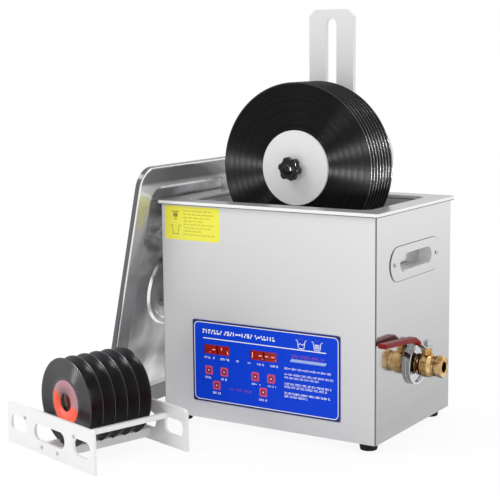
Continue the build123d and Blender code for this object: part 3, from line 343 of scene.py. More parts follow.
# ---- plastics, rubber and board ----------------------------------------------------
def moulded_plastic(name, low, high, rough_low, rough_high, grain_mm, depth, **extra):
    """Injection-moulded skin: two near tones, and a spark-eroded grain of the given size."""
    material, add, place = blank_material(name)
    grain = add("TexNoise", (place, 1 / (grain_mm * MM)))
    # uneven pigment about 33 mm across
    cloud = add("TexNoise", (place, 30.0))
    tone = add("Mix", (cloud, low, high))
    rough = add("MapRange", (grain, 0.0, 1.0, rough_low, rough_high))
    bump = add("Bump", {"Height": grain, "Strength": depth, "Distance": 0.0002})
    inputs = {"Base Color": tone, "Roughness": rough, "Normal": bump, "IOR": 1.5}
    inputs.update({key.replace("_", " "): value for key, value in extra.items()})
    return close_material(material, inputs)


def nitrile_rubber():
    """Black rubber: dull, with a fine matt grain."""
    return moulded_plastic("black_nitrile_rubber", "0C0C0C", "131313", 0.62, 0.8, 1.2, 0.3,
                           Specular_IOR_Level=0.25)


def white_abs():
    """White ABS: slightly glossy, fine grain."""
    return moulded_plastic("white_abs", "EDEDEC", "F4F4F3", 0.3, 0.42, 1.5, 0.05)


def black_abs():
    """Black ABS: satin."""
    return moulded_plastic("black_abs", "17181A", "202123", 0.38, 0.52, 1.2, 0.15)


def red_abs():
    """Red ABS of the rocker: glossy."""
    return moulded_plastic("red_abs", "B3161A", "C41F22", 0.25, 0.35, 2.0, 0.04)


def polished_phenolic():
    """Black phenolic knob, moulded in a polished tool: deep black with small sharp glints."""
    return moulded_plastic("black_phenolic", "020202", "040404", 0.10, 0.16, 2.5, 0.02,
                           Specular_IOR_Level=0.2)


def satin_acetal():
    """Light grey acetal sheet of the clamping discs: satin."""
    return moulded_plastic("grey_satin_acetal", "F4F4F5", "F8F8F8", 0.4, 0.5, 1.0, 0.08)


def natural_nylon():
    """Natural nylon gear: milky and warm, half dull."""
    return moulded_plastic("natural_nylon", "DDD9C8", "E8E5D8", 0.35, 0.5, 1.2, 0.06)


def cast_acrylic():
    """White cast acrylic: glossy faces that let a little light into the sheet."""
    return moulded_plastic("white_cast_acrylic", "F6F6F6", "FBFBFB", 0.12, 0.2, 3.0, 0.02,
                           Subsurface_Weight=0.2, Subsurface_Radius=(0.004, 0.004, 0.004))


def piezo_ceramic():
    """Fired piezo ceramic with silvered faces: matt and biscuit-coloured."""
    return moulded_plastic("fired_piezo_ceramic", "B9B39F", "C9C4B4", 0.4, 0.6, 0.8, 0.1)


def silicone_mat():
    """Orange-red silicone heater mat: dull, with a woven face."""
    return moulded_plastic("silicone_heater_mat", "B4431F", "C5532B", 0.5, 0.65, 1.0, 0.4)


def solder_mask():
    """Green solder mask over glass-epoxy board: half gloss."""
    return moulded_plastic("green_solder_mask", "0D4A2A", "146138", 0.25, 0.4, 2.0, 0.1)


def dipped_vinyl():
    """Red dipped vinyl: thick, soft-edged and glossy."""
    return moulded_plastic("red_dipped_vinyl", "7A0508", "880A0C", 0.26, 0.34, 3.0, 0.06,
                           Specular_IOR_Level=0.2)


# ---- films, inks, labels and records -----------------------------------------------
def screen_print(name, colour, rough=0.4):
    """Screen-printing ink: one even colour with a faint orange peel, about 1.4 mm across."""
    material, add, place = blank_material(name)
    peel = add("TexNoise", (place, 700.0, 1.0))
    rough = add("MapRange", (peel, 0.0, 1.0, rough - 0.05, rough + 0.05))
    return close_material(material, {"Base Color": colour, "Roughness": rough})


def panel_film(colour):
    """Back-printed polyester film: flat colour under a fine velvet, drawn 0.6 mm across."""
    material, add, place = blank_material("printed_polyester_film")
    velvet = add("TexNoise", (place, 1600.0))
    rough = add("MapRange", (velvet, 0.0, 1.0, 0.38, 0.5))
    bump = add("Bump", {"Height": velvet, "Strength": 0.08, "Distance": 0.0001})
    return close_material(material, {
        "Base Color": colour, "Roughness": rough, "Normal": bump, "Specular IOR Level": 0.15})


def tinted_filter():
    """Deep red acrylic filter over the displays: glossy, with a faint glow of the lamps in it."""
    material, add, place = blank_material("red_acrylic_filter")
    haze = add("TexNoise", (place, 160.0))
    rough = add("MapRange", (haze, 0.0, 1.0, 0.12, 0.2))
    tone = add("Mix", (haze, "8E1710", "A81F14"))
    return close_material(material, {
        "Base Color": tone, "Roughness": rough,
        "Emission Color": "9A1A10", "Emission Strength": 0.15})


def lit_segment():
    """Segments of the displays, lit pale red."""
    material, add, place = blank_material("lit_display_segment")
    haze = add("TexNoise", (place, 300.0))
    tone = add("Mix", (haze, "FF8A78", "FFB4A4"))
    return close_material(material, {
        "Base Color": tone, "Roughness": 0.3, "Emission Color": tone, "Emission Strength": 0.5})


def pressed_vinyl(name, low, high, shine):
    """Pressed record vinyl: grooves spread a lamp's glint along the radius, in fans.

    The tangent runs round the disc, and a quarter turn makes the glint long across the grooves.
    """
    material, add, around = blank_material(name, "UVMap", "UV", uv_map="disc")
    radius = add("SeparateXYZ", (around,), out="Y")
    # track bands about 5 mm and 0.7 mm wide; single grooves are far finer than a pixel
    line = {"noise_dimensions": "1D"}
    band = add("TexNoise", (radius, 0.22, 4.0), **line)
    fine = add("TexNoise", (radius, 1.4, 3.0), **line)
    share = add("MapRange", (band, 0.3, 0.7))
    tone = add("Mix", (share, low, high))
    rough = add("MapRange", (fine, 0.3, 0.7, 0.29, 0.36))
    bump = add("Bump", {"Height": fine, "Strength": 0.2, "Distance": 0.0002})
    tangent = add("Tangent", direction_type="UV_MAP", uv_map="disc")
    return close_material(material, {
        "Base Color": tone, "Roughness": rough, "Normal": bump, "Specular IOR Level": shine,
        "Anisotropic": 1.0, "Anisotropic Rotation": 0.25, "Tangent": tangent, "IOR": 1.54})


def record_edge():
    """Smooth bead and run-out of a record: black and glossy."""
    return moulded_plastic("smooth_record_vinyl", "070707", "0C0C0D", 0.16, 0.24, 2.0, 0.02,
                           Specular_IOR_Level=0.2)


def single_edge():
    """Smooth bead and run-out of a small record: blue-black, with a clear shine."""
    return moulded_plastic("beaded_single_vinyl", "121119", "181723", 0.2, 0.3, 2.0, 0.02,
                           Specular_IOR_Level=0.8)


def label_paper(name, low, high):
    """Uncoated label paper, pressed into the vinyl: matt."""
    return moulded_plastic(name, low, high, 0.5, 0.65, 0.9, 0.1)


def yellow_label_vinyl():
    """Yellow gloss vinyl of the casing's label, a little uneven over 25 mm."""
    material, add, place = blank_material("yellow_vinyl_label")
    cloud = add("TexNoise", (place, 40.0))
    tone = add("Mix", (cloud, "FFF946", "FFFA58"))
    rough = add("MapRange", (cloud, 0.0, 1.0, 0.28, 0.4))
    return close_material(material, {"Base Color": tone, "Roughness": rough})


# ---- surfaces as arrays ------------------------------------------------------------
def piece_from_arrays(name, shape, materials, body, which=None, smooth=False, uv=None):
    """Mesh from (points in mm, faces), turned outwards by its volume's sign, riding on a body.

    Volume is a sixth of the sum over faces of the triple product of each fan triangle.
    """
    points, faces = np.asarray(shape[0], float).reshape(-1, 3), shape[1]
    first = np.array([[f[0], f[k], f[k + 1]] for f in faces for k in range(1, len(f) - 1)])
    a, b, c = (points[first[:, k]] - points.mean(0) for k in range(3))
    if np.einsum("ij,ij->i", a, np.cross(b, c)).sum() < 0:
        faces = [f[::-1] for f in faces]
    mesh = bpy.data.meshes.new(name)
    mesh.from_pydata((points * MM).tolist(), [], faces)
    for material in materials:
        mesh.materials.append(material)
    if which is not None:
        mesh.polygons.foreach_set("material_index", np.asarray(which, np.int32))
    if uv is not None:
        corner = np.zeros(len(mesh.loops), np.int32)
        mesh.loops.foreach_get("vertex_index", corner)
        layer = mesh.uv_layers.new(name="disc")
        layer.data.foreach_set("uv", np.asarray(uv, np.float32)[corner].ravel())
    mesh.polygons.foreach_set("use_smooth", np.full(len(mesh.polygons), smooth))
    mesh.update()
    piece = bpy.data.objects.new(name, mesh)
    bpy.context.scene.collection.objects.link(piece)
    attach(piece, body)
    return piece


def prisms(outlines, low, high):
    """Closed prisms: each outline of (a, b) pairs at two depths, joined round its edge.

    outlines is (n, m, 2); the points come back as (n * 2 * m, 3) with the depth third.
    """
    n, m = outlines.shape[:2]
    depth = np.broadcast_to(np.array([low, high])[None, :, None, None], (n, 2, m, 1))
    flat = np.broadcast_to(outlines[:, None], (n, 2, m, 2))
    points = np.concatenate([flat, depth], -1).reshape(-1, 3)
    start = np.arange(n)[:, None] * 2 * m
    ring = start + np.arange(m)
    after = start + (np.arange(m) + 1) % m
    sides = np.stack([ring, after, m + after, m + ring], -1).reshape(-1, 4)
    return points, ring[:, ::-1].tolist() + (m + ring).tolist() + sides.tolist()


def grid_faces(rows, count, closed):
    """Four-sided faces of a grid whose columns close on themselves, and its rows if told to."""
    i, j = np.meshgrid(np.arange(rows if closed else rows - 1), np.arange(count), indexing="ij")
    u, v = (i + 1) % rows, (j + 1) % count
    faces = np.stack([i * count + j, i * count + v, u * count + v, u * count + j], -1)
    return faces.reshape(-1, 4).tolist()


def ring_prism(outer, inner, low, high):
    """Closed frame between two outlines with as many points, at two depths."""
    m = len(outer)
    loops = [np.c_[outer, np.full(m, low)], np.c_[outer, np.full(m, high)],
             np.c_[inner, np.full(m, high)], np.c_[inner, np.full(m, low)]]
    return np.concatenate(loops), grid_faces(len(loops), m, True)


def turned_disc(radii, heights, steps):
    """Record: a half section and its mirror image under it, swept round the third axis.

    A point is (r cos t, r sin t, h). With the points and faces come, for each face, the middle
    radius and the share of a turn at which it starts, and for each point its (turn, radius).
    """
    r = np.concatenate([radii, radii[-2::-1]])
    h = np.concatenate([heights, -heights[-2::-1]])
    t = np.linspace(0, 2 * np.pi, steps, endpoint=False)
    level = np.broadcast_to(h[:, None], (len(r), steps))
    points = np.stack([r[:, None] * np.cos(t), r[:, None] * np.sin(t), level], -1).reshape(-1, 3)
    middle = np.repeat((r + np.roll(r, -1)) / 2, steps)
    turn = np.tile(np.arange(steps) / steps, len(r))
    uv = np.stack([turn, np.linalg.norm(points[:, :2], axis=1)], -1)
    return (points, grid_faces(len(r), steps, True)), middle, turn, uv


def pan_head(radius, height, slot):
    """Cross-recessed pan head: a dome with a cross of arms as wide as the slot sunk in it.

    The dome stands its height times the root of 1 - 0.72 q^2, where q is the share of the radius.
    """
    rings, steps = 10, 40
    share = np.linspace(0.04, 1, rings)[:, None]
    turn = np.linspace(0, 2 * np.pi, steps, endpoint=False)
    a, b = radius * share * np.cos(turn), radius * share * np.sin(turn)
    dome = height * np.sqrt(1 - share ** 2 * 0.72)
    arm = (np.minimum(np.abs(a), np.abs(b)) < slot / 2) & (share < 0.62)
    top = np.stack([a, b, dome - np.where(arm, height * 0.55, 0)], -1)
    rim = np.stack([radius * np.cos(turn), radius * np.sin(turn), np.full(steps, -0.2)], -1)
    points = np.concatenate([top, rim[None]]).reshape(-1, 3)
    first, last = np.arange(steps), np.arange(rings * steps, (rings + 1) * steps)
    caps = [first[::-1].tolist(), last.tolist()]
    return points, grid_faces(rings + 1, steps, False) + caps


def joined(parts):
    """Several (points, faces) pairs as one, with the face numbers shifted."""
    points, faces, offset = [], [], 0
    for some, loops in parts:
        points.append(some)
        faces.extend([[int(v) + offset for v in f] for f in loops])
        offset += len(some)
    return np.concatenate(points), faces


def set_on(shape, origin, across, up=UP):
    """Points (a, b, depth) carried to origin + a across + b up + depth (across x up)."""
    across, up = np.asarray(across, float), np.asarray(up, float)
    basis = np.stack([across, up, np.cross(across, up)])
    return np.asarray(shape[0]) @ basis + np.asarray(origin, float), shape[1]


def rounded(width, height, radius, steps=6):
    """Rounded rectangle: four corner centres plus a radius turned through a quarter each."""
    turn = np.arange(4)[:, None] * np.pi / 2 + np.linspace(0, np.pi / 2, steps + 1)[None]
    corner = np.array([[1, 1], [-1, 1], [-1, -1], [1, -1]])
    centre = corner * [width / 2 - radius, height / 2 - radius]
    arc = np.stack([np.cos(turn), np.sin(turn)], -1) * radius
    return (centre[:, None] + arc).reshape(-1, 2)


def bars(rows, radius_share=0.45):
    """Rounded bars from rows of (middle a, middle b, width, height), each a scaled outline."""
    rows = np.asarray(rows, float)
    unit = rounded(1, 1, 0.5, 3)
    side = np.sign(unit)
    radius = rows[:, 3, None, None] * radius_share
    half = rows[:, None, 2:4] / 2
    return rows[:, None, :2] + side * (half - radius) + (unit * 2) * radius


def strokes(lines, width):
    """Bars along lines of (a0, b0, a1, b1): each end is widened by half the stroke."""
    lines = np.asarray(lines, float)
    start, end = lines[:, :2], lines[:, 2:]
    ahead = (end - start) / np.linalg.norm(end - start, axis=1, keepdims=True) * width / 2
    side = np.stack([-ahead[:, 1], ahead[:, 0]], -1)
    corners = [start - ahead - side, end + ahead - side, end + ahead + side, start - ahead + side]
    return np.stack(corners, 1)


def node_middle(name):
    """Middle of a CAD node's box, in mm."""
    low, high = (np.array(corner, float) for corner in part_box(name))
    return (low + high) / 2 / MM


def finish_node(name, material):
    """Give a carried-over CAD node its material."""
    node = NODES[name]
    for slot in node.material_slots:
        slot.material = material
    if not node.material_slots:
        node.data.materials.append(material)


# which way is across on each wall, seen from outside it
FRONT, RIGHT, LEFT, BACK = (1, 0, 0), (0, 1, 0), (0, -1, 0), (-1, 0, 0)


# ---- sizes and colours that a user would change ------------------------------------
class CleanerSizes(bpy.types.PropertyGroup):
    ink: FloatProperty(
        name="Ink", description="Height of the printed ink over its film",
        unit="LENGTH", precision=5, default=0.06 * MM)
    border: FloatProperty(
        name="Border", description="Width of the panel's white line",
        unit="LENGTH", precision=5, default=1.3 * MM)
    screw_head: FloatProperty(
        name="Screw head", description="Diameter of the screw heads on the handles and the back",
        unit="LENGTH", precision=4, default=7.0 * MM)
    groove_steps: IntProperty(
        name="Record steps", description="Steps round each record", min=24, default=160)


class CleanerColours(bpy.types.PropertyGroup):
    panel: FloatVectorProperty(
        name="Panel", description="Ground colour of the control panel",
        size=4, subtype="COLOR", default=linear("0042DC"))
    edge: FloatVectorProperty(
        name="Panel edge", description="Dark edge of the control panel",
        size=4, subtype="COLOR", default=linear("0A1F66"))


# ---- pieces ------------------------------------------------------------------------
class CLEANER_OT_cad_finishes(bpy.types.Operator):
    """Give every CAD node the finish of its real material"""

    bl_idname = "cleaner.cad_finishes"
    bl_label = "CAD finishes"

    def execute(self, context):
        table = {
            brushed_stainless(): ["casing", "handle_cups"],
            drawn_stainless(): ["tank"],
            lid_stainless(): ["lid_pan"],
            zinc_plated_steel(): ["base_plate", "drain_pipe", "transducer_tails", "bracket_screws",
                                  "valve_lever", "lever_nut", "clamp_stud", "valve_stem"],
            chrome_flange_painted_rings(): ["drain_flange"],
            chrome_plate(): ["mast_bracket", "valve_ball", "spindle_shaft", "lid_handle"],
            forged_brass(): ["valve_body", "valve_end_piece", "motor_pinion"],
            nitrile_rubber(): ["feet", "mast_pads"],
            black_abs(): ["power_inlet", "switch_frame", "fan_frame", "fan_rotor", "lock_knob"],
            white_abs(): ["gearbox_front", "gearbox_back", "spacers"],
            solder_mask(): ["control_board", "generator_board"],
            satin_acetal(): ["rear_plate", "front_plate"],
            cast_acrylic(): ["rack_ends", "rack_bars"],
            turned_aluminium(): ["transducer_horns", "motor"],
            linished_aluminium(): ["mast"],
            panel_film(context.scene.cleaner_colours.panel): ["panel_overlay"],
            tinted_filter(): ["display_windows"],
            piezo_ceramic(): ["transducer_piezos"],
            silicone_mat(): ["heater_pads"],
            dipped_vinyl(): ["lever_sleeve"],
            red_abs(): ["power_rocker"],
            natural_nylon(): ["drive_gear"],
            polished_phenolic(): ["star_knob"],
            screen_print("magenta_key_film", "D24E86", 0.45): [
                name for name in NODES if name.startswith("key_")],
        }
        for material, names in table.items():
            for name in names:
                finish_node(name, material)
        return {"FINISHED"}


# dashes and blocks in a unit cell, as (middle a, middle b, width, height); none is a letter
MARKS = [
    [(0.5, 0.8, 1.0, 0.4), (0.26, 0.22, 0.52, 0.44)],
    [(0.26, 0.78, 0.52, 0.44), (0.5, 0.2, 1.0, 0.4)],
    [(0.5, 0.86, 1.0, 0.26), (0.5, 0.5, 1.0, 0.26), (0.5, 0.14, 1.0, 0.26)],
    [(0.74, 0.76, 0.52, 0.48), (0.26, 0.24, 0.52, 0.48)],
    [(0.5, 0.5, 1.0, 0.42)],
    [(0.26, 0.76, 0.52, 0.48), (0.74, 0.24, 0.52, 0.48)],
    [(0.4, 0.5, 0.5, 1.0)],
]


def mark_rows(left, middle, width, height, pitch, seed=0, first=0):
    """Bars of a line of marks: cells of one pitch, filled to 0.8, with a gap after every few.

    The mark in cell k is number (5 k + k^2 + seed) mod 7, and a group has 3 to 7 cells unless the
    first one's count is given.
    """
    rows, cell, group = [], 0, first or 3 + seed % 4
    filled = 0.8 * pitch
    for k in range(int(width / pitch)):
        if cell == group:
            cell, group = 0, 3 + (group * 3 + seed + k) % 5
            continue
        cell += 1
        for a, b, w, h in MARKS[(5 * k + k * k + seed) % len(MARKS)]:
            rows.append((left + k * pitch + a * filled, middle + (b - 0.5) * height,
                         w * filled, h * height))
    return rows


def printed(name, shape, face, material):
    """Put a print on the housing, facing forward from the given place."""
    piece_from_arrays(name, set_on(shape, face, FRONT), [material], "housing")


class CLEANER_OT_panel_print(bpy.types.Operator):
    """Print on the control panel: border, rule, basins and lines of dashes"""

    bl_idname = "cleaner.panel_print"
    bl_label = "Panel print"

    def execute(self, context):
        sizes, colours = context.scene.cleaner_sizes, context.scene.cleaner_colours
        low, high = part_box("panel_overlay")
        film = [0, low.y / MM, 0]
        middle = node_middle("panel_overlay")[[0, 2]]
        size = np.array([high.x - low.x, high.z - low.z]) / MM
        ink, line, inset, corner = sizes.ink / MM, sizes.border / MM, 3.2, 9.0
        white = screen_print("white_ink", "FFFFFF")

        # dark edge and white line, as frames between rounded rectangles
        outer = rounded(*size, 3.0) + middle
        inner = rounded(*(size - 2 * inset), corner) + middle
        within = rounded(*(size - 2 * inset - 2 * line), corner - line) + middle
        navy = screen_print("navy_ink", colours.edge)
        printed("panel_edge", ring_prism(outer, inner, SUNK, ink), film, navy)
        printed("panel_line", ring_prism(inner, within, SUNK, ink), film, white)

        # a long rule with three groups of large marks over it, as (left, width, seed, first)
        rows = [(-2.3, 162.9, 251, 1.7)]
        for left, width, seed, first in ((-128.5, 44, 0, 7), (-83, 62, 3, 10), (-19, 44, 5, 7)):
            rows += mark_rows(left, 175.4, width, 7.6, 6.0, seed, first)
        # short lines under the displays and keys, as (left, middle, width)
        captions = [(-125, 128, 14), (-107, 128, 6), (-91, 128, 19), (-58, 128, 8), (-34, 128, 8),
                    (-15, 128, 16), (12, 128, 18), (-124, 91.5, 16), (-90, 91.5, 14),
                    (-108, 65, 18), (-26, 91.5, 13), (-10, 91.5, 3), (7, 91.5, 13),
                    (22, 91.5, 3), (-11, 65, 18)]
        for k, (left, level, width) in enumerate(captions):
            rows += mark_rows(left, level, width, 3.8, 2.1, k)
        # four blocks of long lines on the right, as (middle, width)
        lines = [(127.6, 93), (117.2, 96), (111.6, 68), (100.6, 93), (95.0, 84), (84.0, 90),
                 (78.4, 46)]
        for k, (level, width) in enumerate(lines):
            rows += mark_rows(41, level, width, 3.9, 2.0, k + 3)
        parts = [prisms(bars(rows, 0.2), SUNK, ink)]
        # basins: an open tub, one with a wave in it and one with four upright jets
        tub = [(-10, 180), (-7.4, 178.9), (-5.4, 165.6), (5.4, 165.6), (7.4, 178.9), (10, 180)]
        wave = [(-4.8, 172.4), (-1.6, 174.4), (1.6, 171.6), (4.8, 174.0)]
        jets = [(a, 168.5, a, 175.5) for a in (-3.6, -1.2, 1.2, 3.6)]
        basins = (74.5, 105.7)
        for x, inside in zip(basins, ([(*a, *b) for a, b in zip(wave, wave[1:])], jets)):
            drawn = np.array([(*a, *b) for a, b in zip(tub, tub[1:])] + inside) + [x, 0, x, 0]
            parts.append(prisms(strokes(drawn, 1.3), SUNK, ink))
        printed("panel_white_print", joined(parts), film, white)

        # hatched pale bar, and the magenta lines
        slant = [(54 + 4.1 * k, 141.4, 56.6 + 4.1 * k, 144.6) for k in range(17)]
        pale = screen_print("pale_blue_ink", "BBD0F4")
        printed("panel_pale_print", prisms(strokes(slant, 2.5), SUNK, ink), film, pale)
        rows = mark_rows(55.5, 150.8, 66, 5.0, 3.6, 1) + mark_rows(-72.5, 76.0, 50, 4.4, 3.4, 4)
        magenta = screen_print("magenta_ink", "8A3C9A")
        printed("panel_red_print", prisms(bars(rows, 0.2), SUNK, ink), film, magenta)
        dots = [(x + a, 183.2 - abs(a) * 0.3, 1.7, 1.7) for x in basins for a in (-3.2, 0.0, 3.2)]
        dim = screen_print("dim_magenta_ink", "6A4AA8")
        printed("panel_basin_dots", prisms(bars(dots), SUNK, ink), film, dim)
        return {"FINISHED"}


class CLEANER_OT_digits(bpy.types.Operator):
    """Seven-segment digits behind each display window, most of their segments unlit"""

    bl_idname = "cleaner.digits"
    bl_label = "Display digits"

    def execute(self, context):
        # half a digit's width and height, a digit's pitch, and its lean: a twelfth of b
        w, h, pitch = 3.4, 5.0, 12.8
        lean = np.array([[1, 0], [0.08, 1]])
        ends = np.array([(-w, h, w, h), (w, h, w, 0), (w, 0, w, -h), (-w, -h, w, -h),
                         (-w, 0, -w, -h), (-w, h, -w, 0), (-w, 0, w, 0)])
        # segments are shortened about their middles, to leave gaps at the corners
        middle = (ends[:, :2] + ends[:, 2:]) / 2
        start = (middle + (ends[:, :2] - middle) * 0.68) @ lean
        end = (middle + (ends[:, 2:] - middle) * 0.68) @ lean
        level = node_middle("display_windows")[2]
        # for each display, which of the seven segments are lit, and whether the point is
        shown = {-98.6: [((), True), ((6,), False), ((1,), False), ((2,), True)],
                 -1.5: [((4, 5), False), ((6,), True), ((6,), False), ((6,), True)]}
        dark, lit, dots, dividers_and_shade = [], [], [], []
        for x0, digits in shown.items():
            for k, (on, point) in enumerate(digits):
                x = x0 + (k - 1.5) * pitch
                both = np.concatenate([start + [x, level], end + [x, level]], 1)
                lit += both[list(on)].tolist()
                dark += np.delete(both, list(on), 0).tolist()
                if point:
                    dots.append((x + w + 1.4, level - h, 1.6, 1.6))
            # a dark bar between each display's two halves, and a bar of painted shade down the left
            # edge of each half
            dividers_and_shade += [(x0, level, 1.5, 16.8), (x0 - 26.2, level, 1.2, 16.8),
                      (x0 + 1.6, level, 1.0, 15.0)]
        face = [0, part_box("display_windows")[0].y / MM, 0]
        table = [
            ("display_unlit", prisms(strokes(dark, 1.3), SUNK, 0.05),
             screen_print("unlit_segment", "7A1A12", 0.3)),
            ("display_segments", joined([prisms(strokes(lit, 1.7), SUNK, 0.06),
                                         prisms(bars(dots), SUNK, 0.06)]), lit_segment()),
            ("display_masks", prisms(bars(dividers_and_shade, 0.1), SUNK, 0.05),
             screen_print("dark_mask_ink", "2A0E22", 0.35)),
        ]
        for name, shape, material in table:
            printed(name, shape, face, material)
        return {"FINISHED"}


class CLEANER_OT_key_marks(bpy.types.Operator):
    """Dark square and white spot on each key"""

    bl_idname = "cleaner.key_marks"
    bl_label = "Key marks"

    def execute(self, context):
        marks = [("square", prisms(rounded(9.4, 9.4, 2.2)[None], SUNK, 0.05),
                  screen_print("crimson_ink", "8C1646")),
                 ("spot", prisms(rounded(2.8, 2.8, 1.39, 5)[None], SUNK, 0.09),
                  screen_print("white_key_ink", "F6F0F4"))]
        for key in [name for name in NODES if name.startswith("key_")]:
            face = node_middle(key)
            face[1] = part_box(key)[0].y / MM
            for name, shape, material in marks:
                piece_from_arrays(
                    f"{key}_{name}", set_on(shape, face, FRONT), [material], key)
        return {"FINISHED"}


class CLEANER_OT_labels(bpy.types.Operator):
    """Yellow label on the casing's front, with olive dashes, a tub and three small bars"""

    bl_idname = "cleaner.labels"
    bl_label = "Labels"

    def execute(self, context):
        x, z, width, height = LABEL
        face = [x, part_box("casing")[0].y / MM, z]
        plate = prisms(rounded(width, height, 5.0)[None], 0.0, 0.18)
        printed("casing_label", plate, face, yellow_label_vinyl())
        rows = []
        for k, reach in enumerate((62, 66, 58, 44, 66, 60, 40, 68)):
            rows += mark_rows(-18, 22 - 6.0 * k, reach, 2.3, 1.7, k)
        tub = [(-46, -4), (-43, -5), (-40.5, -20), (-30.5, -20), (-28, -5), (-25, -4)]
        tub = [(*a, *b) for a, b in zip(tub, tub[1:])]
        small = [(-35.5, 14, 10, 8), (-35.5, 20, 15, 2), (-35.5, 7, 6, 2)]
        outlines = (bars(rows, 0.2), strokes(tub, 1.2), bars(small, 0.3))
        rules = joined([prisms(outline, 0.17, 0.23) for outline in outlines])
        printed("casing_label_rules", rules, face, screen_print("olive_ink", "A09A2E"))
        return {"FINISHED"}


class CLEANER_OT_records(bpy.types.Operator):
    """Long playing records with bands, run-out, raised label and beaded rim"""

    bl_idname = "cleaner.records"
    bl_label = "Records"

    def execute(self, context):
        low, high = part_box("records")
        radius = (high.z - low.z) / 2 / MM
        x, _, z = node_middle("records")
        count, thick = 8, 2.0
        pitch = ((high.y - low.y) / MM - thick) / (count - 1)
        materials = [pressed_vinyl("pressed_record_vinyl", "010101", "030303", 0.07),
                     record_edge(), label_paper("grey_label_paper", "8F9192", "A4A6A7")]
        # half section from the hole outwards: label, run-out, seven bands with dips of 0.1 mm
        # between them, and the bead
        radii, heights = [3.62, 50.0, 51.5, 58.5], [1.0, 1.0, 0.72, 0.72]
        bands = np.linspace(60, radius - 5, 8)
        for start, end in zip(bands[:-1], bands[1:]):
            radii += [start, start + 0.5, end - 0.5]
            heights += [0.64, 0.74, 0.74]
        radii += [radius - 4.5, radius - 2.5, radius - 1.0, radius - 0.25, radius]
        heights += [0.66, 0.80, 0.98, 0.6, 0.0]
        steps = context.scene.cleaner_sizes.groove_steps
        shape, middle, _, uv = turned_disc(np.array(radii), np.array(heights), steps)
        # the label is material 2, the run-out and the bead are 1 and the grooves are 0
        plain = (middle < 59) | (middle > radius - 3)
        which = np.where(middle < 50.5, 2, np.where(plain, 1, 0))
        for step in range(count):
            y = low.y / MM + thick / 2 + step * pitch
            piece = piece_from_arrays(
                f"record_{step + 1}", set_on(shape, [x, y, z], FRONT), materials,
                "spindle", which=which, smooth=True, uv=uv)
            if step == 0:
                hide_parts("records")
        return {"FINISHED"}


class CLEANER_OT_singles(bpy.types.Operator):
    """Small records with a wide hole and a label"""

    bl_idname = "cleaner.singles"
    bl_label = "Singles"

    def execute(self, context):
        steps, radius, hole, label = 120, SINGLE_R, 15.9, 38.0
        materials = [pressed_vinyl("pressed_single_vinyl", "07070D", "0E0D15", 0.7),
                     single_edge(), label_paper("red_label_paper", "CB4630", "D6543B"),
                     label_paper("mauve_label_paper", "8E666B", "9C7479")]
        radii = np.array([hole, label, label + 1.2, 43, 43.6, radius - 4, radius - 2.4,
                          radius - 0.9, radius - 0.2, radius])
        heights = np.array([0.9, 0.9, 0.62, 0.62, 0.66, 0.66, 0.72, 0.88, 0.5, 0.0])
        shape, middle, turn, uv = turned_disc(radii, heights, steps)
        # painted sheen: the label is painted mauve over a sector of 165 degrees round 1.25 rad, and
        # is red over the rest
        red = np.cos(2 * np.pi * (turn + 0.5 / steps) - 1.25) < 0.13
        plain = (middle < 43.3) | (middle > radius - 3)
        which = np.where(middle < label + 0.5, np.where(red, 2, 3), np.where(plain, 1, 0))
        across = (math.cos(RACK_TURN), math.sin(RACK_TURN), 0)
        for step in range(6):
            name = f"single_{step + 1}"
            piece = piece_from_arrays(
                f"{name}_disc", set_on(shape, node_middle(name), across), materials,
                name, which=which, smooth=True, uv=uv)
            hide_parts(name)
        return {"FINISHED"}


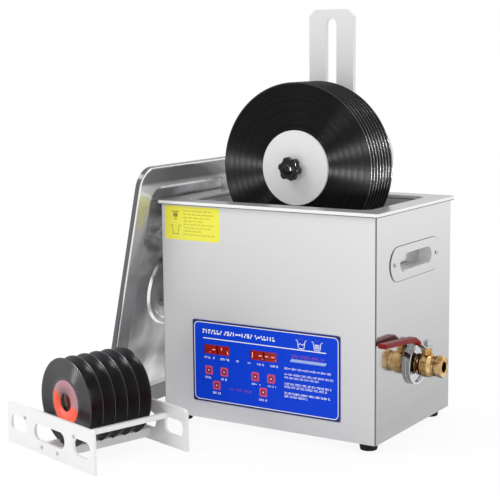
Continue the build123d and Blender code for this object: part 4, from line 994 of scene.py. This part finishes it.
class CLEANER_OT_screws(bpy.types.Operator):
    """Small screws of the handles, the back and the rack, and the handles' gaskets, whose dark line
    is also painted shade
    """

    bl_idname = "cleaner.screws"
    bl_label = "Screws"

    def execute(self, context):
        zinc, gasket_and_painted_shade = zinc_plated_steel(), nitrile_rubber()
        head = pan_head(context.scene.cleaner_sizes.screw_head / MM / 2, 2.0, 1.1)

        def screws(name, shapes, body="housing"):
            piece_from_arrays(name, joined(shapes), [zinc], body, smooth=True)

        low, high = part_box("handle_cups")
        handle_z = node_middle("handle_cups")[2]
        wide, tall = (high.y - low.y) / MM, (high.z - low.z) / MM
        casing_low, casing_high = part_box("casing")
        for side, across, x in (("right", RIGHT, high.x / MM), ("left", LEFT, low.x / MM)):
            screws(f"handle_screws_{side}",
                   [set_on(head, [x, y, handle_z], across) for y in (-82, 82)])
            # rubber gasket: a thin dark line round the flange, which also stands in for painted
            # shade at the flange's edge
            wall = math.copysign(-casing_low.x / MM, x)
            shape = ring_prism(rounded(wide + 1.6, tall + 1.6, tall / 2 + 0.7, 12),
                               rounded(wide - 2, tall - 2, tall / 2 - 1.1, 12), 0.0, 0.5)
            piece_from_arrays(f"handle_gasket_{side}", set_on(shape, [wall, 0, handle_z], across),
                              [gasket_and_painted_shade], "housing")
        # four screws round the fan, and three up each edge of the back
        x, _, z = node_middle("fan_frame")
        spots = [(x + 35.7 * a, z + 35.7 * b) for a in (-1, 1) for b in (-1, 1)]
        spots += [(a, b) for a in (-205, 205) for b in (60, 210, 360)]
        back = casing_high.y / MM
        screws("back_screws", [set_on(head, [a, back, b], BACK) for a, b in spots])
        x, _, z = node_middle("power_inlet")
        inlet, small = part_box("power_inlet")[1].y / MM - 1.2, pan_head(2.6, 1.6, 0.9)
        screws("inlet_screws", [set_on(small, [x + a, inlet, z], BACK) for a in (-20, 20)])
        # one screw at each end of the rack's four bars
        middle = node_middle("rack_ends") * [1, 1, 0]
        across = np.array([math.cos(RACK_TURN), math.sin(RACK_TURN), 0])
        inward = np.array([-math.sin(RACK_TURN), math.cos(RACK_TURN), 0])
        head = pan_head(3.4, 1.8, 1.1)
        bar_ends = ((-75, 52.5), (75, 52.5), (-24, 12), (24, 12))
        for side, way in (("front", -1), ("rear", 1)):
            plate = middle + inward * way * RACK_REACH
            screws(f"rack_screws_{side}",
                   [set_on(head, plate + across * a + [0, 0, b], -way * across)
                    for a, b in bar_ends], "rack")
        return {"FINISHED"}


def seen_rays(tree):
    """One for the rays that show the backdrop: camera, glossy and transmission rays."""
    ray = add_node(tree, "LightPath").node.outputs
    seen = add_node(tree, "Math", (ray["Is Camera Ray"], ray["Is Glossy Ray"]), operation="MAXIMUM")
    return add_node(tree, "Math", (seen, ray["Is Transmission Ray"]), operation="MAXIMUM")


class CLEANER_OT_stage(bpy.types.Operator):
    """Pale floor, white surroundings, soft studio lamps and the camera"""

    bl_idname = "cleaner.stage"
    bl_label = "Stage"

    def execute(self, context):
        self.floor()
        self.world(context)
        self.lamps()
        self.camera(context)
        context.scene.view_settings.view_transform = "Standard"
        return {"FINISHED"}

    def floor(self):
        mesh = bpy.data.meshes.new("studio_floor")
        half, level = 30.0, -0.0004
        corners = [(a * half, b * half, level) for a, b in ((-1, -1), (1, -1), (1, 1), (-1, 1))]
        mesh.from_pydata(corners, [], [[0, 1, 2, 3]])
        floor = bpy.data.objects.new("studio_floor", mesh)
        bpy.context.scene.collection.objects.link(floor)
        material, add, place = blank_material("pale_studio_floor")
        # the floor keeps its shadow round the object and turns into the backdrop 1.5 m away
        far = add("VectorMath", (place,), operation="LENGTH")
        white = add("MapRange", (far, 0.5, 1.5, 0.9, 1.0))
        share = add("Math", (seen_rays(material.node_tree), white), operation="MULTIPLY")
        matt = add("BsdfDiffuse", {"Color": "FFFFFF"})
        glow = add("Emission", {"Color": "FFFFFF"})
        add("OutputMaterial", {"Surface": add("MixShader", (share, matt, glow))})
        mesh.materials.append(material)

    def world(self, context):
        world = bpy.data.worlds.new("studio_surroundings")
        context.scene.world = world
        world.use_nodes = True
        world.node_tree.nodes.clear()
        add = partial(add_node, world.node_tree)
        height = add("VectorMath", (add("TexCoord", out="Generated"), UP))
        height = add("MapRange", (height, -0.1, 0.9, 0.62, 0.9))
        studio = add("Background", {"Color": "FFFFFF", "Strength": height})
        white = add("Background", {"Color": "FFFFFF"})
        mix = add("MixShader", (seen_rays(world.node_tree), studio, white))
        add("OutputWorld", {"Surface": mix})

    def lamps(self):
        # name, place, size in m, power in W and the pieces it lights, or all of them; the groove
        # lamps are small and bright, and light only the black gloss pieces
        black = ("record_", "star_knob")
        table = [
            ("key_softbox", (-1.2, -1.6, 2.6), 1.2, 14.0, ()),
            ("top_softbox", (0.1, 0.6, 2.6), 1.6, 12.0, ()),
            ("low_groove_lamp", (1.3, -2.26, 0.07), 0.25, 480.0, black),
            ("high_groove_lamp", (1.3, -2.28, 1.0), 0.25, 280.0, black),
            ("steep_groove_lamp", (0.3, -2.2, 1.7), 0.4, 35.0, black),
            ("single_groove_lamp", (-1.45, -1.74, 1.26), 0.5, 45.0, ("single_",)),
        ]
        for name, place, size, power, lit in table:
            lamp = bpy.data.lights.new(name, "AREA")
            lamp.shape, lamp.size, lamp.energy = "DISK", size, power
            holder = bpy.data.objects.new(name, lamp)
            holder.location = place
            aim = Vector((0, 0, 0.3)) - Vector(place)
            holder.rotation_euler = aim.to_track_quat("-Z", "Y").to_euler()
            bpy.context.scene.collection.objects.link(holder)
            if lit:
                pieces = bpy.data.collections.new(f"{name}_pieces")
                for piece in bpy.data.objects:
                    if piece.type == "MESH" and piece.name.startswith(lit):
                        pieces.objects.link(piece)
                holder.light_linking.receiver_collection = pieces

    def camera(self, context):
        # turned 32.5 degrees from the front, 8.7 degrees up and rolled by half a degree
        turn, rise, roll = math.radians(32.457), math.radians(8.742), 0.010
        data = bpy.data.cameras.new("studio_camera")
        data.lens, data.sensor_width, data.clip_start, data.clip_end = 96.27, 36.0, 0.05, 60.0
        camera = bpy.data.objects.new("studio_camera", data)
        camera.matrix_world = Matrix.Translation((1.19644, -2.07249, 0.67877))
        for angle, axis in ((turn, "Z"), (math.pi / 2 - rise, "X"), (-roll, "Z")):
            camera.matrix_world @= Matrix.Rotation(angle, 4, axis)
        context.scene.collection.objects.link(camera)
        context.scene.camera = camera


class CLEANER_PT_panel(bpy.types.Panel):
    """Lists the sizes, the colours and the pieces of the machine"""

    bl_idname = "CLEANER_PT_panel"
    bl_label = "Record cleaner"
    bl_space_type = "VIEW_3D"
    bl_region_type = "UI"
    bl_category = "Record cleaner"

    def draw(self, context):
        for group in (context.scene.cleaner_sizes, context.scene.cleaner_colours):
            for name in group.__annotations__:
                self.layout.prop(group, name)
        for operator in OPERATORS:
            self.layout.operator(operator.bl_idname)


OPERATORS = [
    CLEANER_OT_cad_finishes, CLEANER_OT_panel_print, CLEANER_OT_digits, CLEANER_OT_key_marks,
    CLEANER_OT_labels, CLEANER_OT_records, CLEANER_OT_singles, CLEANER_OT_screws, CLEANER_OT_stage,
]
CLASSES = [CleanerSizes, CleanerColours, *OPERATORS, CLEANER_PT_panel]


def register():
    for each in CLASSES:
        bpy.utils.register_class(each)
    bpy.types.Scene.cleaner_sizes = PointerProperty(type=CleanerSizes)
    bpy.types.Scene.cleaner_colours = PointerProperty(type=CleanerColours)


def unregister():
    del bpy.types.Scene.cleaner_colours
    del bpy.types.Scene.cleaner_sizes
    for each in reversed(CLASSES):
        bpy.utils.unregister_class(each)


def main():
    register()
    for operator in OPERATORS:
        group, name = operator.bl_idname.split(".")
        getattr(getattr(bpy.ops, group), name)()


if __name__ == "__main__":
    main()
